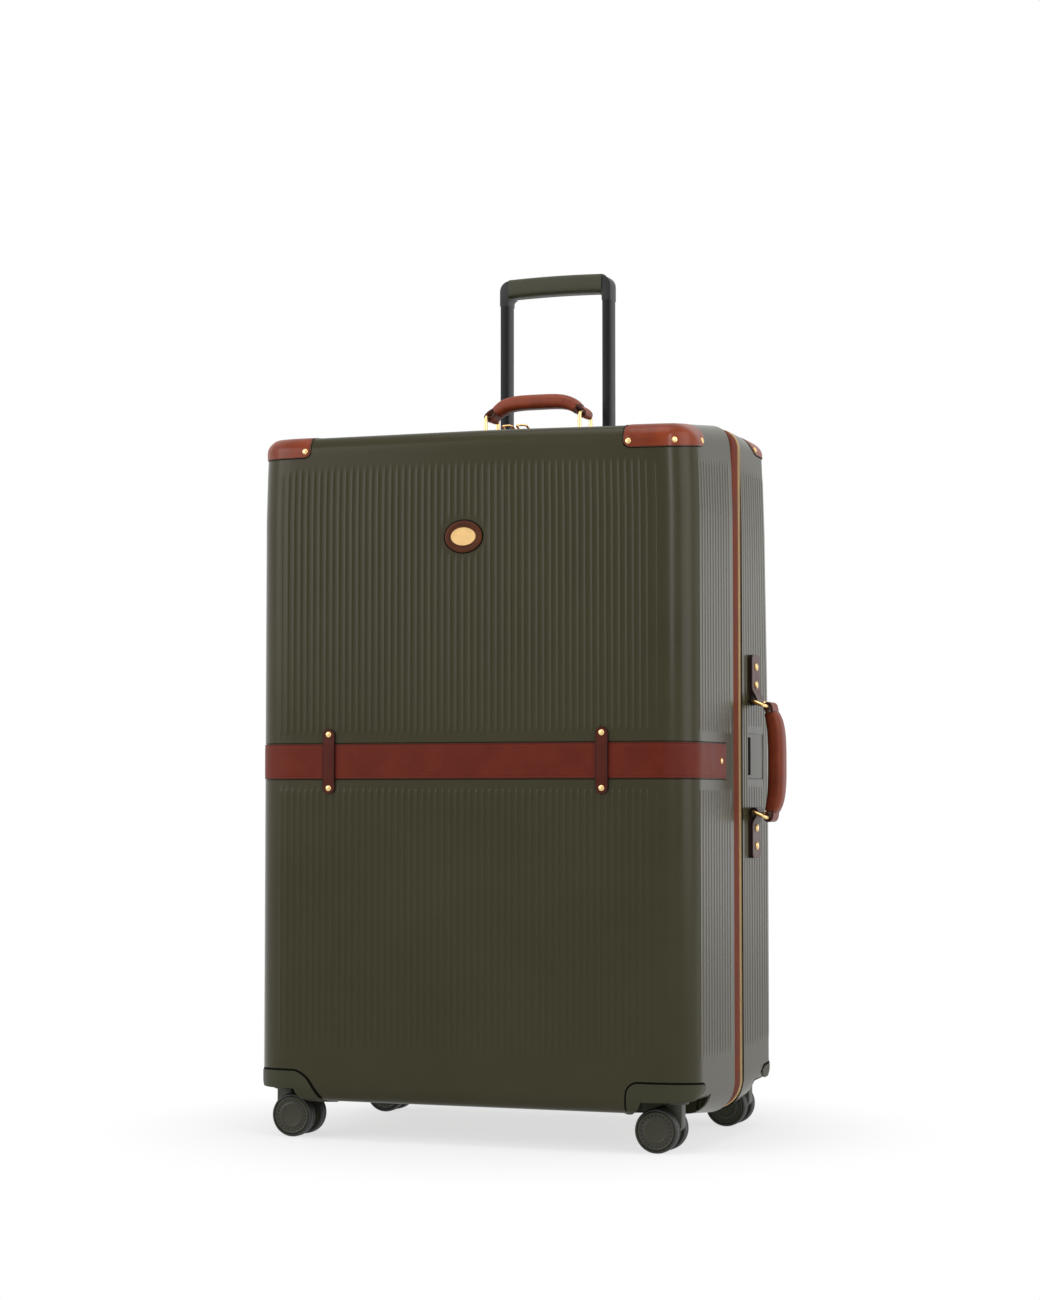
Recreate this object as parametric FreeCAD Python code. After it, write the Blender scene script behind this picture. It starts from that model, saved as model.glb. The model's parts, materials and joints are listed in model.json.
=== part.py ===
import FreeCAD, Part
import math
import os

# Large hard-shell suitcase: two moulded half shells with leather trim, a zip all round, a telescopic
# handle, two swing handles on brass rings and four twin-wheel casters.
# Millimetres. X runs to the right seen from the front, Y to the back and Z up. The origin is on the
# floor under the middle of the case, which stands closed with its telescopic handle pulled out.

Vector = FreeCAD.Vector

# Case: two half shells that part behind the middle. Top and floor draw in towards the front face, the
# floor also towards the back
case_width = 526.0
case_depth = 350.0
case_bottom = 29.0
case_top = 816.0
face_drop = 16.0
face_lift = 15.0
back_lift = 13.0
wall = 3.0
lining_wall = 1.0
top_corner = 30.0
bottom_corner = 40.0
front_corner = 50.0
rear_corner = 35.0
edge_round = 15.0
front_shell_depth = 175.0

# Closure between the shells, from the front shell's rim backwards
band_width = 25.0
band_inset = 1.5
band_thickness = 2.5
chain_width = 10.0
chain_inset = 0.8
chain_thickness = 2.5
chain_parting = 0.3
tape_width = 2.0
tape_inset = 1.8
tape_thickness = 1.2
hinge_tape_margin = 65.0
hinge_tape_parting = 0.5
hinge_offset = 4.5

# Belt round the front shell, with its keepers
belt_height = 40.0
belt_centre = 428.4
belt_reach = 144.0
belt_thickness = 1.8
belt_recess = 1.2
belt_groove = 1.0
keeper_spacing = 328.0
keeper_width = 14.5
keeper_length = 74.0
keeper_thickness = 2.4
keeper_rivet_spacing = 61.0
belt_rivet_inset = 20.0

# Brass rivets
rivet_radius = 3.5
rivet_height = 1.6
rivet_edge = 0.5

# Leather corner caps
cap_leg = 72.0
cap_side_leg = 75.0
cap_height = 25.5
cap_thickness = 1.8
cap_corner = 8.0
cap_end_corner = 20.0
cap_plan_corner = 45.0
cap_rivet_rise = 7.0
cap_rivet_inset = 6.0

# Oval badge
badge_drop = 136.0
badge_pad_size = (45.0, 36.0)
badge_plate_size = (30.0, 20.5)
badge_pad_thickness = 2.0
badge_plate_thickness = 1.2
badge_recess = 1.0
badge_gap = 1.5

# Casters
caster_inset_x = 28.0
caster_inset_y = 41.0
caster_trail = 16.5
wheel_radius = 24.5
wheel_thickness = 14.0
wheel_spacing = 31.0
tyre_depth = 5.0
tyre_chamfer = 2.0
hub_dish = 1.5
hub_rim = 3.0
hub_disc_share = 0.55
hub_step_share = 0.62
hub_face_share = 0.94
axle_radius = 3.0
running_clearance = 0.05
press_clearance = 0.02
fork_thickness = 15.0
fork_width = 17.0
fork_boss = 9.0
fork_heel_round = 8.0
fork_toe_round = 3.0
fork_tip_round = 4.0
swivel_radius = 14.0
swivel_thickness = 4.0
swivel_gap = 0.3
stem_radius = 5.0
stem_length = 16.0
stem_end_gap = 1.0
stem_boss = 14.0
housing_height = 20.0
housing_leg = 45.0
housing_side_leg = 52.0
housing_spread = 56.0
housing_proud = 1.0
housing_corner = 10.0
pocket_gap = 3.2
pocket_wall = 3.0
pocket_roof = 5.0
pocket_headroom = 8.0
lining_gap = 1.0

# Side feet on the hinge side, for setting the case down on that side
foot_radius = 9.0
foot_tip_radius = 6.5
foot_height = 5.0
foot_rise = 91.0
foot_drop = 126.0
foot_front_inset = 85.0
foot_rear_inset = 65.0

# Telescopic handle
trolley_inset = 37.0
tube_spacing = 133.0
tube_width = 11.0
tube_depth = 22.0
tube_wall = 1.2
tube_corner = 3.0
tube_clearance = 0.3
tube_overlap = 380.0
channel_wall = 1.2
bezel_margin = 14.0
bezel_depth = 38.0
bezel_height = 5.0
grip_reach = 212.0
grip_thickness = 21.0
grip_depth = 25.0
grip_round = 6.0
socket_wall = 1.25
socket_round = 13.0
socket_skirt = 12.0
socket_cap = 12.0
button_length = 34.0
button_width = 11.0
button_depth = 9.0
button_travel = 3.0
button_proud = 0.8
button_clearance = 0.4
tunnel_gap = 3.0

# Swing handles on brass rings: one on top, one on the side
ring_wire = 2.25
ring_corner = 4.5
ring_clearance = 0.1
knuckle_radius = 5.0
knuckle_length = 30.0
knuckle_neck = 4.5
strap_width = 26.0
strap_thickness = 6.0
strap_round = 2.0
loop_radius = 6.5
sleeve_width = 29.0
sleeve_thickness = 18.0
sleeve_round = 7.0
top_handle_y = 68.0
top_handle_spacing = 120.0
top_handle_pivot = 7.0
top_ring_length = 24.0
top_ring_width = 45.0
top_handle_rise = 13.0
top_sleeve_half = 54.0
top_bracket_length = 20.0
top_bracket_plate = 2.0
side_handle_y = 80.0
side_handle_z = 435.5
side_handle_spacing = 129.0
side_handle_pivot = 5.0
side_handle_sag = 22.0
side_ring_length = 18.0
side_ring_width = 48.0
side_handle_rise = 11.0
side_sleeve_half = 54.0
side_tab_length = 54.0
side_tab_width = 35.0
side_tab_thickness = 3.0
side_tab_rivets = (19.0, 40.0)
hand_pocket_start = 23.0
hand_pocket_length = 65.0
hand_pocket_height = 53.0
hand_pocket_depth = 1.8
hand_pocket_corner = 4.0

# Combination lock and the zip's sliders on top
lock_length = 64.0
lock_width = 26.0
lock_height = 9.0
lock_gap = 2.0
lock_round = 3.0
dial_radius = 5.5
dial_thickness = 4.0
dial_pitch = 9.0
dial_offset = -10.0
dial_sink = 3.2
dial_pin = 1.5
dial_clearance = 0.5
lock_button_size = 9.0
lock_button_depth = 6.0
lock_button_offset = 20.0
lock_button_travel = 2.0
lock_button_proud = 1.0
lock_button_round = 2.0
slider_length = 14.0
slider_width = 10.0
slider_thickness = 3.0
slider_round = 2.0
slider_gap = 0.3
slider_centre = -8.0
slider_offset = 9.0
lug_length = 5.0
lug_width = 5.0
lug_round = 2.0
lug_cover = 2.6
pull_gap = 1.0
pull_wire = 1.3
pull_length = 25.0
pull_width = 15.0
pull_corner = 1.9
pull_lean = 72.0

# Packing straps in the rear tray
packing_strap_width = 30.0
packing_strap_thickness = 2.0
packing_strap_spacing = 90.0
buckle_length = 50.0
buckle_width = 40.0
buckle_thickness = 8.0
buckle_round = 6.0

# Places that follow from the sizes above
half_width = case_width / 2
front_face = -case_depth / 2
rear_face = case_depth / 2
front_rim = front_face + front_shell_depth
band_end = front_rim + band_width
zip_line = band_end + chain_width / 2
chain_end = band_end + chain_width
rear_rim = chain_end + tape_width
face_top = case_top - face_drop
badge_height = case_top - badge_drop
wheel_reach = math.hypot(caster_trail + wheel_radius, (wheel_spacing + wheel_thickness) / 2)
pocket_radius = wheel_reach + pocket_gap
pocket_height = 2 * wheel_radius + pocket_headroom
trolley_y = rear_face - trolley_inset
tube_bore = (tube_width + 2 * tube_clearance, tube_depth + 2 * tube_clearance)
channel_size = (tube_bore[0] + 2 * channel_wall, tube_bore[1] + 2 * channel_wall)
bezel_top = case_top + bezel_height
grip_top = case_top + grip_reach
grip_bottom = grip_top - grip_thickness
socket_width = tube_width + 2 * socket_wall
socket_corner = min(socket_round, socket_width - socket_wall / 2)
tunnel_half = tube_spacing / 2 + channel_size[0] / 2 + tunnel_gap
tunnel_face = trolley_y - channel_size[1] / 2 - tunnel_gap
far = 40.0
tiny = 1e-6
fit_tolerance = 1e-4

up = Vector(0, 0, 1)
back = Vector(0, 1, 0)
right = Vector(1, 0, 0)

nodes = {}


# Drawing helpers

def on_front(y):
    return lambda p: Vector(p.x, y, p.y)


def on_plan(z):
    return lambda p: Vector(p.x, p.y, z)


def on_side(x):
    return lambda p: Vector(x, p.x, p.y)


def rounded(corners, place):
    """Closed wire through (u, v, radius) corners, with a tangent arc at each corner that has a radius."""
    spans = []
    for i, (u, v, radius) in enumerate(corners):
        here = Vector(u, v, 0)
        before = Vector(corners[i - 1][0], corners[i - 1][1], 0)
        after = Vector(corners[(i + 1) % len(corners)][0], corners[(i + 1) % len(corners)][1], 0)
        to_before = (before - here).normalize()
        to_after = (after - here).normalize()
        half_angle = to_before.getAngle(to_after) / 2
        run = radius / math.tan(half_angle)
        inward = (to_before + to_after).normalize() * (radius / math.sin(half_angle) - radius)
        spans.append((here + to_before * run, here + inward, here + to_after * run, radius))
    edges = []
    for i, (start, middle, end, radius) in enumerate(spans):
        if radius > tiny:
            edges.append(Part.Arc(place(start), place(middle), place(end)).toShape())
        following = spans[(i + 1) % len(spans)][0]
        if end.distanceToPoint(following) > tiny:
            edges.append(Part.makeLine(place(end), place(following)))
    return Part.Wire(edges)


def prism(corners, place, direction):
    """Solid extruded from a rounded outline."""
    return Part.Face(rounded(corners, place)).extrude(direction)


def block(x0, x1, y0, y1, z0, z1):
    return Part.makeBox(x1 - x0, y1 - y0, z1 - z0, Vector(x0, y0, z0))


def rectangle(u0, u1, v0, v1, radius=0.0):
    return [(u0, v0, radius), (u1, v0, radius), (u1, v1, radius), (u0, v1, radius)]


def mirrored_x(shape):
    return shape.mirror(Vector(0, 0, 0), right)


def turned_to(shape, direction):
    """Copy of a shape drawn along +Z, turned so that it points along a direction."""
    turned = shape.copy()
    turned.Placement = FreeCAD.Placement(Vector(0, 0, 0), FreeCAD.Rotation(up, direction))
    return turned


def add(name, *solids):
    nodes[name] = list(solids)


# The case's outer form and what is cut from it

def front_outline(inset):
    return [
        (-half_width + inset, case_bottom + inset, bottom_corner - inset),
        (half_width - inset, case_bottom + inset, bottom_corner - inset),
        (half_width - inset, case_top - inset, top_corner - inset),
        (-half_width + inset, case_top - inset, top_corner - inset),
    ]


def plan_outline(inset):
    return [
        (-half_width + inset, front_face + inset, front_corner - inset),
        (half_width - inset, front_face + inset, front_corner - inset),
        (half_width - inset, rear_face - inset, rear_corner - inset),
        (-half_width + inset, rear_face - inset, rear_corner - inset),
    ]


def side_outline(inset):
    """Full height between the two rims, with sloping runs from there to the faces."""
    radius = edge_round - inset
    front_share = 1 - inset / (front_rim - front_face)
    rear_share = 1 - inset / (rear_face - rear_rim)
    return [
        (front_face + inset, case_bottom + face_lift * front_share + inset, radius),
        (front_rim, case_bottom + inset, 0.0),
        (rear_rim, case_bottom + inset, 0.0),
        (rear_face - inset, case_bottom + back_lift * rear_share + inset, radius),
        (rear_face - inset, case_top - inset, radius),
        (front_rim, case_top - inset, 0.0),
        (front_face + inset, case_top - face_drop * front_share - inset, radius),
    ]


def case_form(inset):
    """Rounded block of the whole case, drawn in from its outer skin by an inset."""
    from_front = prism(front_outline(inset), on_front(front_face - far), back * (case_depth + 2 * far))
    from_above = prism(plan_outline(inset), on_plan(0), up * (case_top + far))
    from_side = prism(side_outline(inset), on_side(-half_width - far), right * (case_width + 2 * far))
    return from_front.common((from_above,), fit_tolerance).common((from_side,), fit_tolerance)


def rim_ring(inset, thickness, y0, y1):
    """Flat ring that follows the case's front outline between two depths."""
    outer = prism(front_outline(inset), on_front(y0), back * (y1 - y0))
    inner = prism(front_outline(inset + thickness), on_front(y0), back * (y1 - y0))
    return outer.cut(inner)


def plan_ring(outset, inset, z0, z1):
    """Wall that follows the case's plan between two heights, from an outset to an inset of its skin."""
    outer = prism(plan_outline(-outset), on_plan(z0), up * (z1 - z0))
    inner = prism(plan_outline(inset), on_plan(z0), up * (z1 - z0))
    return outer.cut(inner)


def half_space(y0, y1):
    return block(-half_width - far, half_width + far, y0, y1, 0, case_top + far)


# Rivets

def rivet(point, direction):
    """Low domed head whose flat side sits at a point, facing a direction."""
    rise = rivet_height - rivet_edge
    dome = (rivet_radius ** 2 + rise ** 2) / (2 * rise)
    half_angle = math.asin(rivet_radius / dome) / 2
    centre = Vector(0, 0, 0)
    rim = Vector(rivet_radius, 0, 0)
    shoulder = Vector(rivet_radius, 0, rivet_edge)
    bulge = Vector(dome * math.sin(half_angle), 0, rivet_height - dome * (1 - math.cos(half_angle)))
    crown = Vector(0, 0, rivet_height)
    profile = Part.Wire([
        Part.makeLine(centre, rim),
        Part.makeLine(rim, shoulder),
        Part.Arc(shoulder, bulge, crown).toShape(),
        Part.makeLine(crown, centre),
    ])
    head = Part.Face(profile).revolve(centre, up, 360)
    return turned_to(head, direction).translated(point)


# Casters

def caster_places():
    """Each caster's name with its stem's place and the side of the case that it stands at."""
    x = half_width - caster_inset_x
    places = {}
    for name, side_x, side_y in (("fl", -1, -1), ("fr", 1, -1), ("rl", -1, 1), ("rr", 1, 1)):
        y = front_face + caster_inset_y if side_y < 0 else rear_face - caster_inset_y
        places[name] = (side_x * x, y, side_x, side_y)
    return places


def face_of(side_y):
    return rear_face if side_y > 0 else front_face


def housing_flange(side_x, side_y, grow):
    """Visible corner block of a caster housing, whose two legs spread towards the floor."""
    top = pocket_height + housing_height + grow
    inner_x = half_width - housing_leg - grow
    outer_x = half_width + far
    end_y = face_of(side_y) - side_y * (housing_side_leg + grow)
    outer_y = face_of(side_y) + side_y * far
    from_front = prism(
        [(inner_x - housing_spread, 0.0, 0.0), (outer_x, 0.0, 0.0), (outer_x, top, 0.0),
         (inner_x, top, housing_corner)],
        on_front(front_face - far), back * (case_depth + 2 * far))
    from_side = prism(
        [(outer_y, 0.0, 0.0), (end_y - side_y * housing_spread, 0.0, 0.0), (end_y, top, housing_corner),
         (outer_y, top, 0.0)],
        on_side(0.0), right * outer_x)
    region = from_front.common(from_side)
    return case_form(-housing_proud).common(region if side_x > 0 else mirrored_x(region))


def housing_body(stem_x, stem_y, side_x, side_y, grow):
    """Everything of a caster housing that stands inside the case's skin, grown by a gap."""
    cup = Part.makeCylinder(pocket_radius + pocket_wall + grow, pocket_height + pocket_roof + grow,
                            Vector(stem_x, stem_y, 0))
    boss = Part.makeCylinder(stem_boss + grow, pocket_height + housing_height + grow,
                             Vector(stem_x, stem_y, 0))
    inside = cup.fuse(boss).common(case_form(0.0))
    return inside.fuse(housing_flange(side_x, side_y, grow))


def caster_housing(stem_x, stem_y, side_x, side_y):
    """Corner housing: a round cup over the wheels, a boss for the stem and a lip on the case's corner."""
    pocket = Part.makeCylinder(pocket_radius, pocket_height, Vector(stem_x, stem_y, 0))
    bore = Part.makeCylinder(stem_radius + running_clearance, stem_length + stem_end_gap,
                             Vector(stem_x, stem_y, pocket_height))
    body = housing_body(stem_x, stem_y, side_x, side_y, 0.0)
    return body.cut(pocket).cut(bore).removeSplitter()


def caster_fork(stem_x, stem_y, side_x):
    """Swivel fork: stem, thrust disc and an arm that trails inwards between the two wheels."""
    axle_x = stem_x - side_x * caster_trail
    disc_top = pocket_height - swivel_gap
    disc_bottom = disc_top - swivel_thickness
    stem = Part.makeCylinder(stem_radius, stem_length + swivel_gap, Vector(stem_x, stem_y, disc_top))
    disc = Part.makeCylinder(swivel_radius, swivel_thickness, Vector(stem_x, stem_y, disc_bottom))
    outer_x = stem_x + side_x * fork_width / 2
    inner_x = stem_x - side_x * fork_width / 2
    arm_front = stem_y - fork_thickness / 2
    arm = prism(
        [(inner_x, disc_bottom, 0.0), (outer_x, disc_bottom, 0.0), (outer_x, wheel_radius, fork_heel_round),
         (axle_x, wheel_radius - fork_boss, fork_toe_round),
         (axle_x - side_x * fork_boss, wheel_radius, fork_tip_round)],
        on_front(arm_front), back * fork_thickness)
    axle_start = Vector(axle_x, arm_front, wheel_radius)
    boss = Part.makeCylinder(fork_boss, fork_thickness, axle_start, back)
    bore = Part.makeCylinder(axle_radius + running_clearance, fork_thickness, axle_start, back)
    return stem.fuse(disc).fuse(arm).fuse(boss).cut(bore).removeSplitter()


def turned_profile(corners, axle_x, y, facing):
    """Wheel part turned about its axle from (radius, depth) corners; depth grows towards the outer face."""
    profile = Part.Face(rounded(corners, lambda p: Vector(p.x, p.y * facing, 0)))
    ring = profile.revolve(Vector(0, 0, 0), back, 360)
    return ring.translated(Vector(axle_x, y, wheel_radius))


def caster_wheels(stem_x, stem_y, side_x):
    """Axle, two hubs and two tyres of one caster."""
    axle_x = stem_x - side_x * caster_trail
    axle_length = wheel_spacing + wheel_thickness - 2 * hub_rim
    axle_start = Vector(axle_x, stem_y - axle_length / 2, wheel_radius)
    axle = Part.makeCylinder(axle_radius, axle_length, axle_start, back)
    half = wheel_thickness / 2
    hub_radius = wheel_radius - tyre_depth
    bore = axle_radius + press_clearance
    hub_profile = [
        (0.0, half - hub_rim + press_clearance, 0.0), (0.0, half - hub_dish, 0.0),
        (hub_radius * hub_disc_share, half - hub_dish, 0.0), (hub_radius * hub_step_share, half, 0.0),
        (hub_radius * hub_face_share, half, 0.0), (hub_radius, half - hub_dish, 0.0),
        (hub_radius, -half, 0.0), (bore, -half, 0.0), (bore, half - hub_rim + press_clearance, 0.0),
    ]
    tyre_profile = [
        (hub_radius, -half, 0.0), (wheel_radius - tyre_chamfer, -half, 0.0),
        (wheel_radius, tyre_chamfer - half, 0.0), (wheel_radius, half - tyre_chamfer, 0.0),
        (wheel_radius - tyre_chamfer, half, 0.0), (hub_radius, half - hub_dish, 0.0),
    ]
    hubs = []
    tyres = []
    for facing in (-1, 1):
        y = stem_y + facing * wheel_spacing / 2
        hubs.append(turned_profile(hub_profile, axle_x, y, facing))
        tyres.append(turned_profile(tyre_profile, axle_x, y, facing))
    return axle, hubs, tyres


# Shells and their linings

def belt_path(outset, inset, margin):
    """Length of wall that the belt, or its recess, takes up round the front shell."""
    z0 = belt_centre - belt_height / 2 - margin
    z1 = belt_centre + belt_height / 2 + margin
    reach = half_space(front_face - far, front_face + belt_reach + margin)
    return plan_ring(outset, inset, z0, z1).common(reach)


def oval(size, thickness, y):
    """Oval plate that stands forward from a depth y."""
    ellipse = Part.Ellipse(Vector(0, 0, 0), size[0] / 2, size[1] / 2)
    face = Part.Face(Part.Wire(ellipse.toShape()))
    plate = face.extrude(up * thickness)
    return plate.rotated(Vector(0, 0, 0), right, 90).translated(Vector(0, y, badge_height))


def shell_half(y0, y1):
    skin = case_form(0.0).common(half_space(y0, y1))
    return skin.cut(case_form(wall))


def housings(side_y, grow):
    return [housing_body(x, y, sx, sy, grow) for x, y, sx, sy in caster_places().values() if sy == side_y]


def front_shell():
    shell = shell_half(front_face - far, front_rim)
    badge_seat = oval((badge_pad_size[0] + 2 * badge_gap, badge_pad_size[1] + 2 * badge_gap), far,
                      front_face + badge_recess)
    return shell.cut([belt_path(far, belt_recess, belt_groove), badge_seat] + housings(-1, 0.0))


def tube_places():
    return (-tube_spacing / 2, tube_spacing / 2)


def tube_prism(size, x, z0, z1, corner):
    outline = rectangle(x - size[0] / 2, x + size[0] / 2, trolley_y - size[1] / 2,
                        trolley_y + size[1] / 2, corner)
    return prism(outline, on_plan(z0), up * (z1 - z0))


def rear_shell():
    shell = shell_half(rear_rim, rear_face + far)
    tube_holes = [tube_prism(tube_bore, x, case_top - 2 * wall, case_top + far, tube_corner)
                  for x in tube_places()]
    pocket_y = rear_rim + hand_pocket_start
    hand_pocket = prism(
        rectangle(pocket_y, pocket_y + hand_pocket_length, side_handle_z - hand_pocket_height / 2,
                  side_handle_z + hand_pocket_height / 2, hand_pocket_corner),
        on_side(half_width - hand_pocket_depth), right * far)
    return shell.cut(tube_holes + [hand_pocket] + housings(1, 0.0))


def front_lining():
    space = half_space(front_face, front_rim)
    tray = case_form(wall).common(space).cut(case_form(wall + lining_wall))
    return tray.cut(housings(-1, lining_gap))


def rear_lining():
    """Cloth tray whose back steps forward over the telescopic handle's channels."""
    space = half_space(rear_rim, rear_face)
    tunnel = block(-tunnel_half, tunnel_half, tunnel_face, rear_face, 0, case_top)
    cover = block(-tunnel_half - lining_wall, tunnel_half + lining_wall, tunnel_face - lining_wall,
                  rear_face, 0, case_top)
    outside = case_form(wall).common(space).cut(tunnel)
    inside = case_form(wall + lining_wall).common(space).cut(cover)
    return outside.cut(inside).cut(housings(1, lining_gap))


# Zip, band and hinge tape

def zip_run(ring):
    """Leave out the hinge side's straight run, which has the hinge tape instead of teeth."""
    run = block(-half_width - far, -half_width + far, front_face, rear_face,
                case_bottom + hinge_tape_margin, case_top - hinge_tape_margin)
    return ring.cut(run)


def closure():
    add("zip_band", rim_ring(band_inset, band_thickness, front_rim, band_end))
    front_half = zip_run(rim_ring(chain_inset, chain_thickness, band_end, zip_line - chain_parting / 2))
    rear_half = zip_run(rim_ring(chain_inset, chain_thickness, zip_line + chain_parting / 2, chain_end))
    add("zip_half_front", front_half)
    add("zip_half_rear", rear_half, zip_run(rim_ring(tape_inset, tape_thickness, chain_end, rear_rim)))
    add("hinge_tape", block(-half_width + band_inset, -half_width + band_inset + tape_thickness,
                            band_end + hinge_tape_parting, rear_rim,
                            case_bottom + hinge_tape_margin, case_top - hinge_tape_margin))


# Leather trim on the front

def keeper(x):
    half_length = keeper_length / 2
    end_round = keeper_width / 2
    outline = rectangle(x - keeper_width / 2, x + keeper_width / 2, belt_centre - half_length,
                        belt_centre + half_length, end_round)
    strip = prism(outline, on_front(front_face - keeper_thickness), back * keeper_thickness)
    return strip.cut(belt_path(belt_thickness - belt_recess, wall, belt_groove))


def front_trim():
    belt_proud = belt_thickness - belt_recess
    add("belt", belt_path(belt_proud, belt_recess, 0.0))
    add("belt_keepers", keeper(-keeper_spacing / 2), keeper(keeper_spacing / 2))
    rivets = []
    for x in (-keeper_spacing / 2, keeper_spacing / 2):
        for rise in (-keeper_rivet_spacing / 2, keeper_rivet_spacing / 2):
            rivets.append(rivet(Vector(x, front_face - keeper_thickness, belt_centre + rise), -back))
    belt_end = front_face + belt_reach - belt_rivet_inset
    for side in (-1, 1):
        rivets.append(rivet(Vector(side * (half_width + belt_proud), belt_end, belt_centre), right * side))
    add("front_caps", corner_cap(-1, -1), corner_cap(1, -1))
    add("front_rivets", *(rivets + cap_rivets(-1, -1) + cap_rivets(1, -1)))
    pad_face = front_face + badge_recess - badge_pad_thickness
    add("badge_pad", oval(badge_pad_size, badge_pad_thickness, front_face + badge_recess))
    add("badge_plate", oval(badge_plate_size, badge_plate_thickness, pad_face))


def cap_foot(side_y):
    """Height of a cap's lower edge, measured down from the top of the face that it folds over."""
    return (case_top if side_y > 0 else face_top) - cap_height


def corner_cap(side_x, side_y):
    """Leather skin over one upper corner, bounded by a leg along the face and a leg along the side."""
    low, high = cap_foot(side_y), case_top + far
    inner_x = half_width - cap_leg
    outer_x = half_width + far
    end_y = face_of(side_y) - side_y * cap_side_leg
    outer_y = face_of(side_y) + side_y * far
    from_front = prism(
        [(inner_x, low, cap_corner), (outer_x, low, 0.0), (outer_x, high, 0.0), (inner_x, high, 0.0)],
        on_front(min(end_y, outer_y)), back * abs(end_y - outer_y))
    from_side = prism(
        [(outer_y, low, 0.0), (end_y, low, cap_end_corner), (end_y, high, 0.0), (outer_y, high, 0.0)],
        on_side(inner_x), right * (outer_x - inner_x))
    from_above = prism(
        [(outer_x, outer_y, 0.0), (inner_x, outer_y, 0.0), (inner_x, end_y, cap_plan_corner),
         (outer_x, end_y, 0.0)],
        on_plan(low), up * (high - low))
    region = from_front.common(from_side).common(from_above)
    skin = case_form(-cap_thickness).cut(case_form(0.0))
    return skin.common(region if side_x > 0 else mirrored_x(region))


def cap_rivets(side_x, side_y):
    """Three rivets on a cap: on the face, at the rounded corner and near the end of the side leg."""
    height = cap_foot(side_y) + cap_rivet_rise
    plan_radius = rear_corner if side_y > 0 else front_corner
    face_y = side_y * (case_depth / 2 + cap_thickness)
    inner_x = half_width - cap_leg + cap_rivet_inset
    on_face = rivet(Vector(side_x * inner_x, face_y, height), back * side_y)
    diagonal = math.sqrt(0.5)
    reach = (plan_radius + cap_thickness) * diagonal
    corner = Vector(side_x * (half_width - plan_radius + reach),
                    side_y * (case_depth / 2 - plan_radius + reach), height)
    at_corner = rivet(corner, Vector(side_x * diagonal, side_y * diagonal, 0))
    arc_radius = top_corner + cap_thickness
    climb = math.asin(max(0.0, height - (case_top - top_corner)) / arc_radius)
    normal = Vector(side_x * math.cos(climb), 0, math.sin(climb))
    end_y = side_y * (case_depth / 2 - cap_side_leg + 2 * cap_rivet_inset)
    arc_centre = Vector(side_x * (half_width - top_corner), end_y, min(height, case_top - top_corner))
    return [on_face, at_corner, rivet(arc_centre + normal * arc_radius, normal)]


# Telescopic handle

def channel(x):
    """Fixed guide tube between the case's sloping floor and its top."""
    tube = tube_prism(channel_size, x, 0.0, case_top, tube_corner + channel_wall).cut(
        tube_prism(tube_bore, x, 0.0, case_top, tube_corner))
    return tube.common(case_form(wall))


def bezel():
    half = tube_spacing / 2 + tube_bore[0] / 2 + bezel_margin
    corner = bezel_depth / 2
    plate = prism(rectangle(-half, half, trolley_y - bezel_depth / 2, trolley_y + bezel_depth / 2, corner),
                  on_plan(case_top), up * bezel_height)
    holes = [tube_prism(tube_bore, x, case_top, bezel_top, tube_corner) for x in tube_places()]
    return plate.cut(holes)


def sliding_tube(x):
    z0 = case_top - tube_overlap
    z1 = grip_top - socket_cap
    bore = (tube_width - 2 * tube_wall, tube_depth - 2 * tube_wall)
    return tube_prism((tube_width, tube_depth), x, z0, z1, tube_corner).cut(
        tube_prism(bore, x, z0, z1, tube_corner - tube_wall))


def grip_socket(side):
    """Elbow that joins a tube to the grip, with the tube's end seated in it."""
    x0 = tube_spacing / 2 - socket_width / 2
    x1 = tube_spacing / 2 + socket_width / 2
    depth = Vector(0, grip_depth, 0)
    start = trolley_y - grip_depth / 2
    elbow = prism(
        [(x0, grip_bottom - socket_skirt, 0.0), (x1, grip_bottom - socket_skirt, 0.0),
         (x1, grip_top, socket_corner), (x0, grip_top, 0.0)],
        on_front(start), depth)
    tube = tube_prism((tube_width, tube_depth), tube_spacing / 2, 0, grip_top - socket_cap, tube_corner)
    elbow = elbow.cut(tube)
    return elbow if side > 0 else mirrored_x(elbow)


def grip_bar():
    half = tube_spacing / 2 - socket_width / 2
    outline = rectangle(trolley_y - grip_depth / 2, trolley_y + grip_depth / 2, grip_bottom, grip_top,
                        grip_round)
    bar = prism(outline, on_side(-half), right * (2 * half))
    pocket = block(-button_length / 2 - button_clearance, button_length / 2 + button_clearance,
                   trolley_y - button_width / 2 - button_clearance,
                   trolley_y + button_width / 2 + button_clearance,
                   grip_top - button_depth - button_travel, grip_top + far)
    return bar.cut(pocket)


def grip_button():
    outline = rectangle(-button_length / 2, button_length / 2, trolley_y - button_width / 2,
                        trolley_y + button_width / 2, button_width / 4)
    return prism(outline, on_plan(grip_top - button_depth), up * (button_depth + button_proud))


def telescopic_handle():
    add("trolley_channels", *[channel(x) for x in tube_places()])
    add("trolley_bezel", bezel())
    add("trolley_tubes", *[sliding_tube(x) for x in tube_places()])
    add("trolley_sockets", grip_socket(-1), grip_socket(1))
    add("trolley_grip", grip_bar())
    add("trolley_button", grip_button())


# Swing handles, drawn about the middle of their pivots: X along the handle, Y along the rings' bars
# and Z out of the case

def wire_ring(width, length, wire, corner):
    """Closed wire ring in the YZ plane, from its pivot bar at Z 0 to its far bar."""
    half = width / 2 - wire
    path = rounded(rectangle(-half, half, 0.0, length, corner), on_side(0.0))
    start = Vector(0, half - corner, 0)
    section = Part.Wire(Part.Circle(start, back, wire).toShape())
    return Part.Solid(path.makePipeShell([section], True, False))


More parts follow.
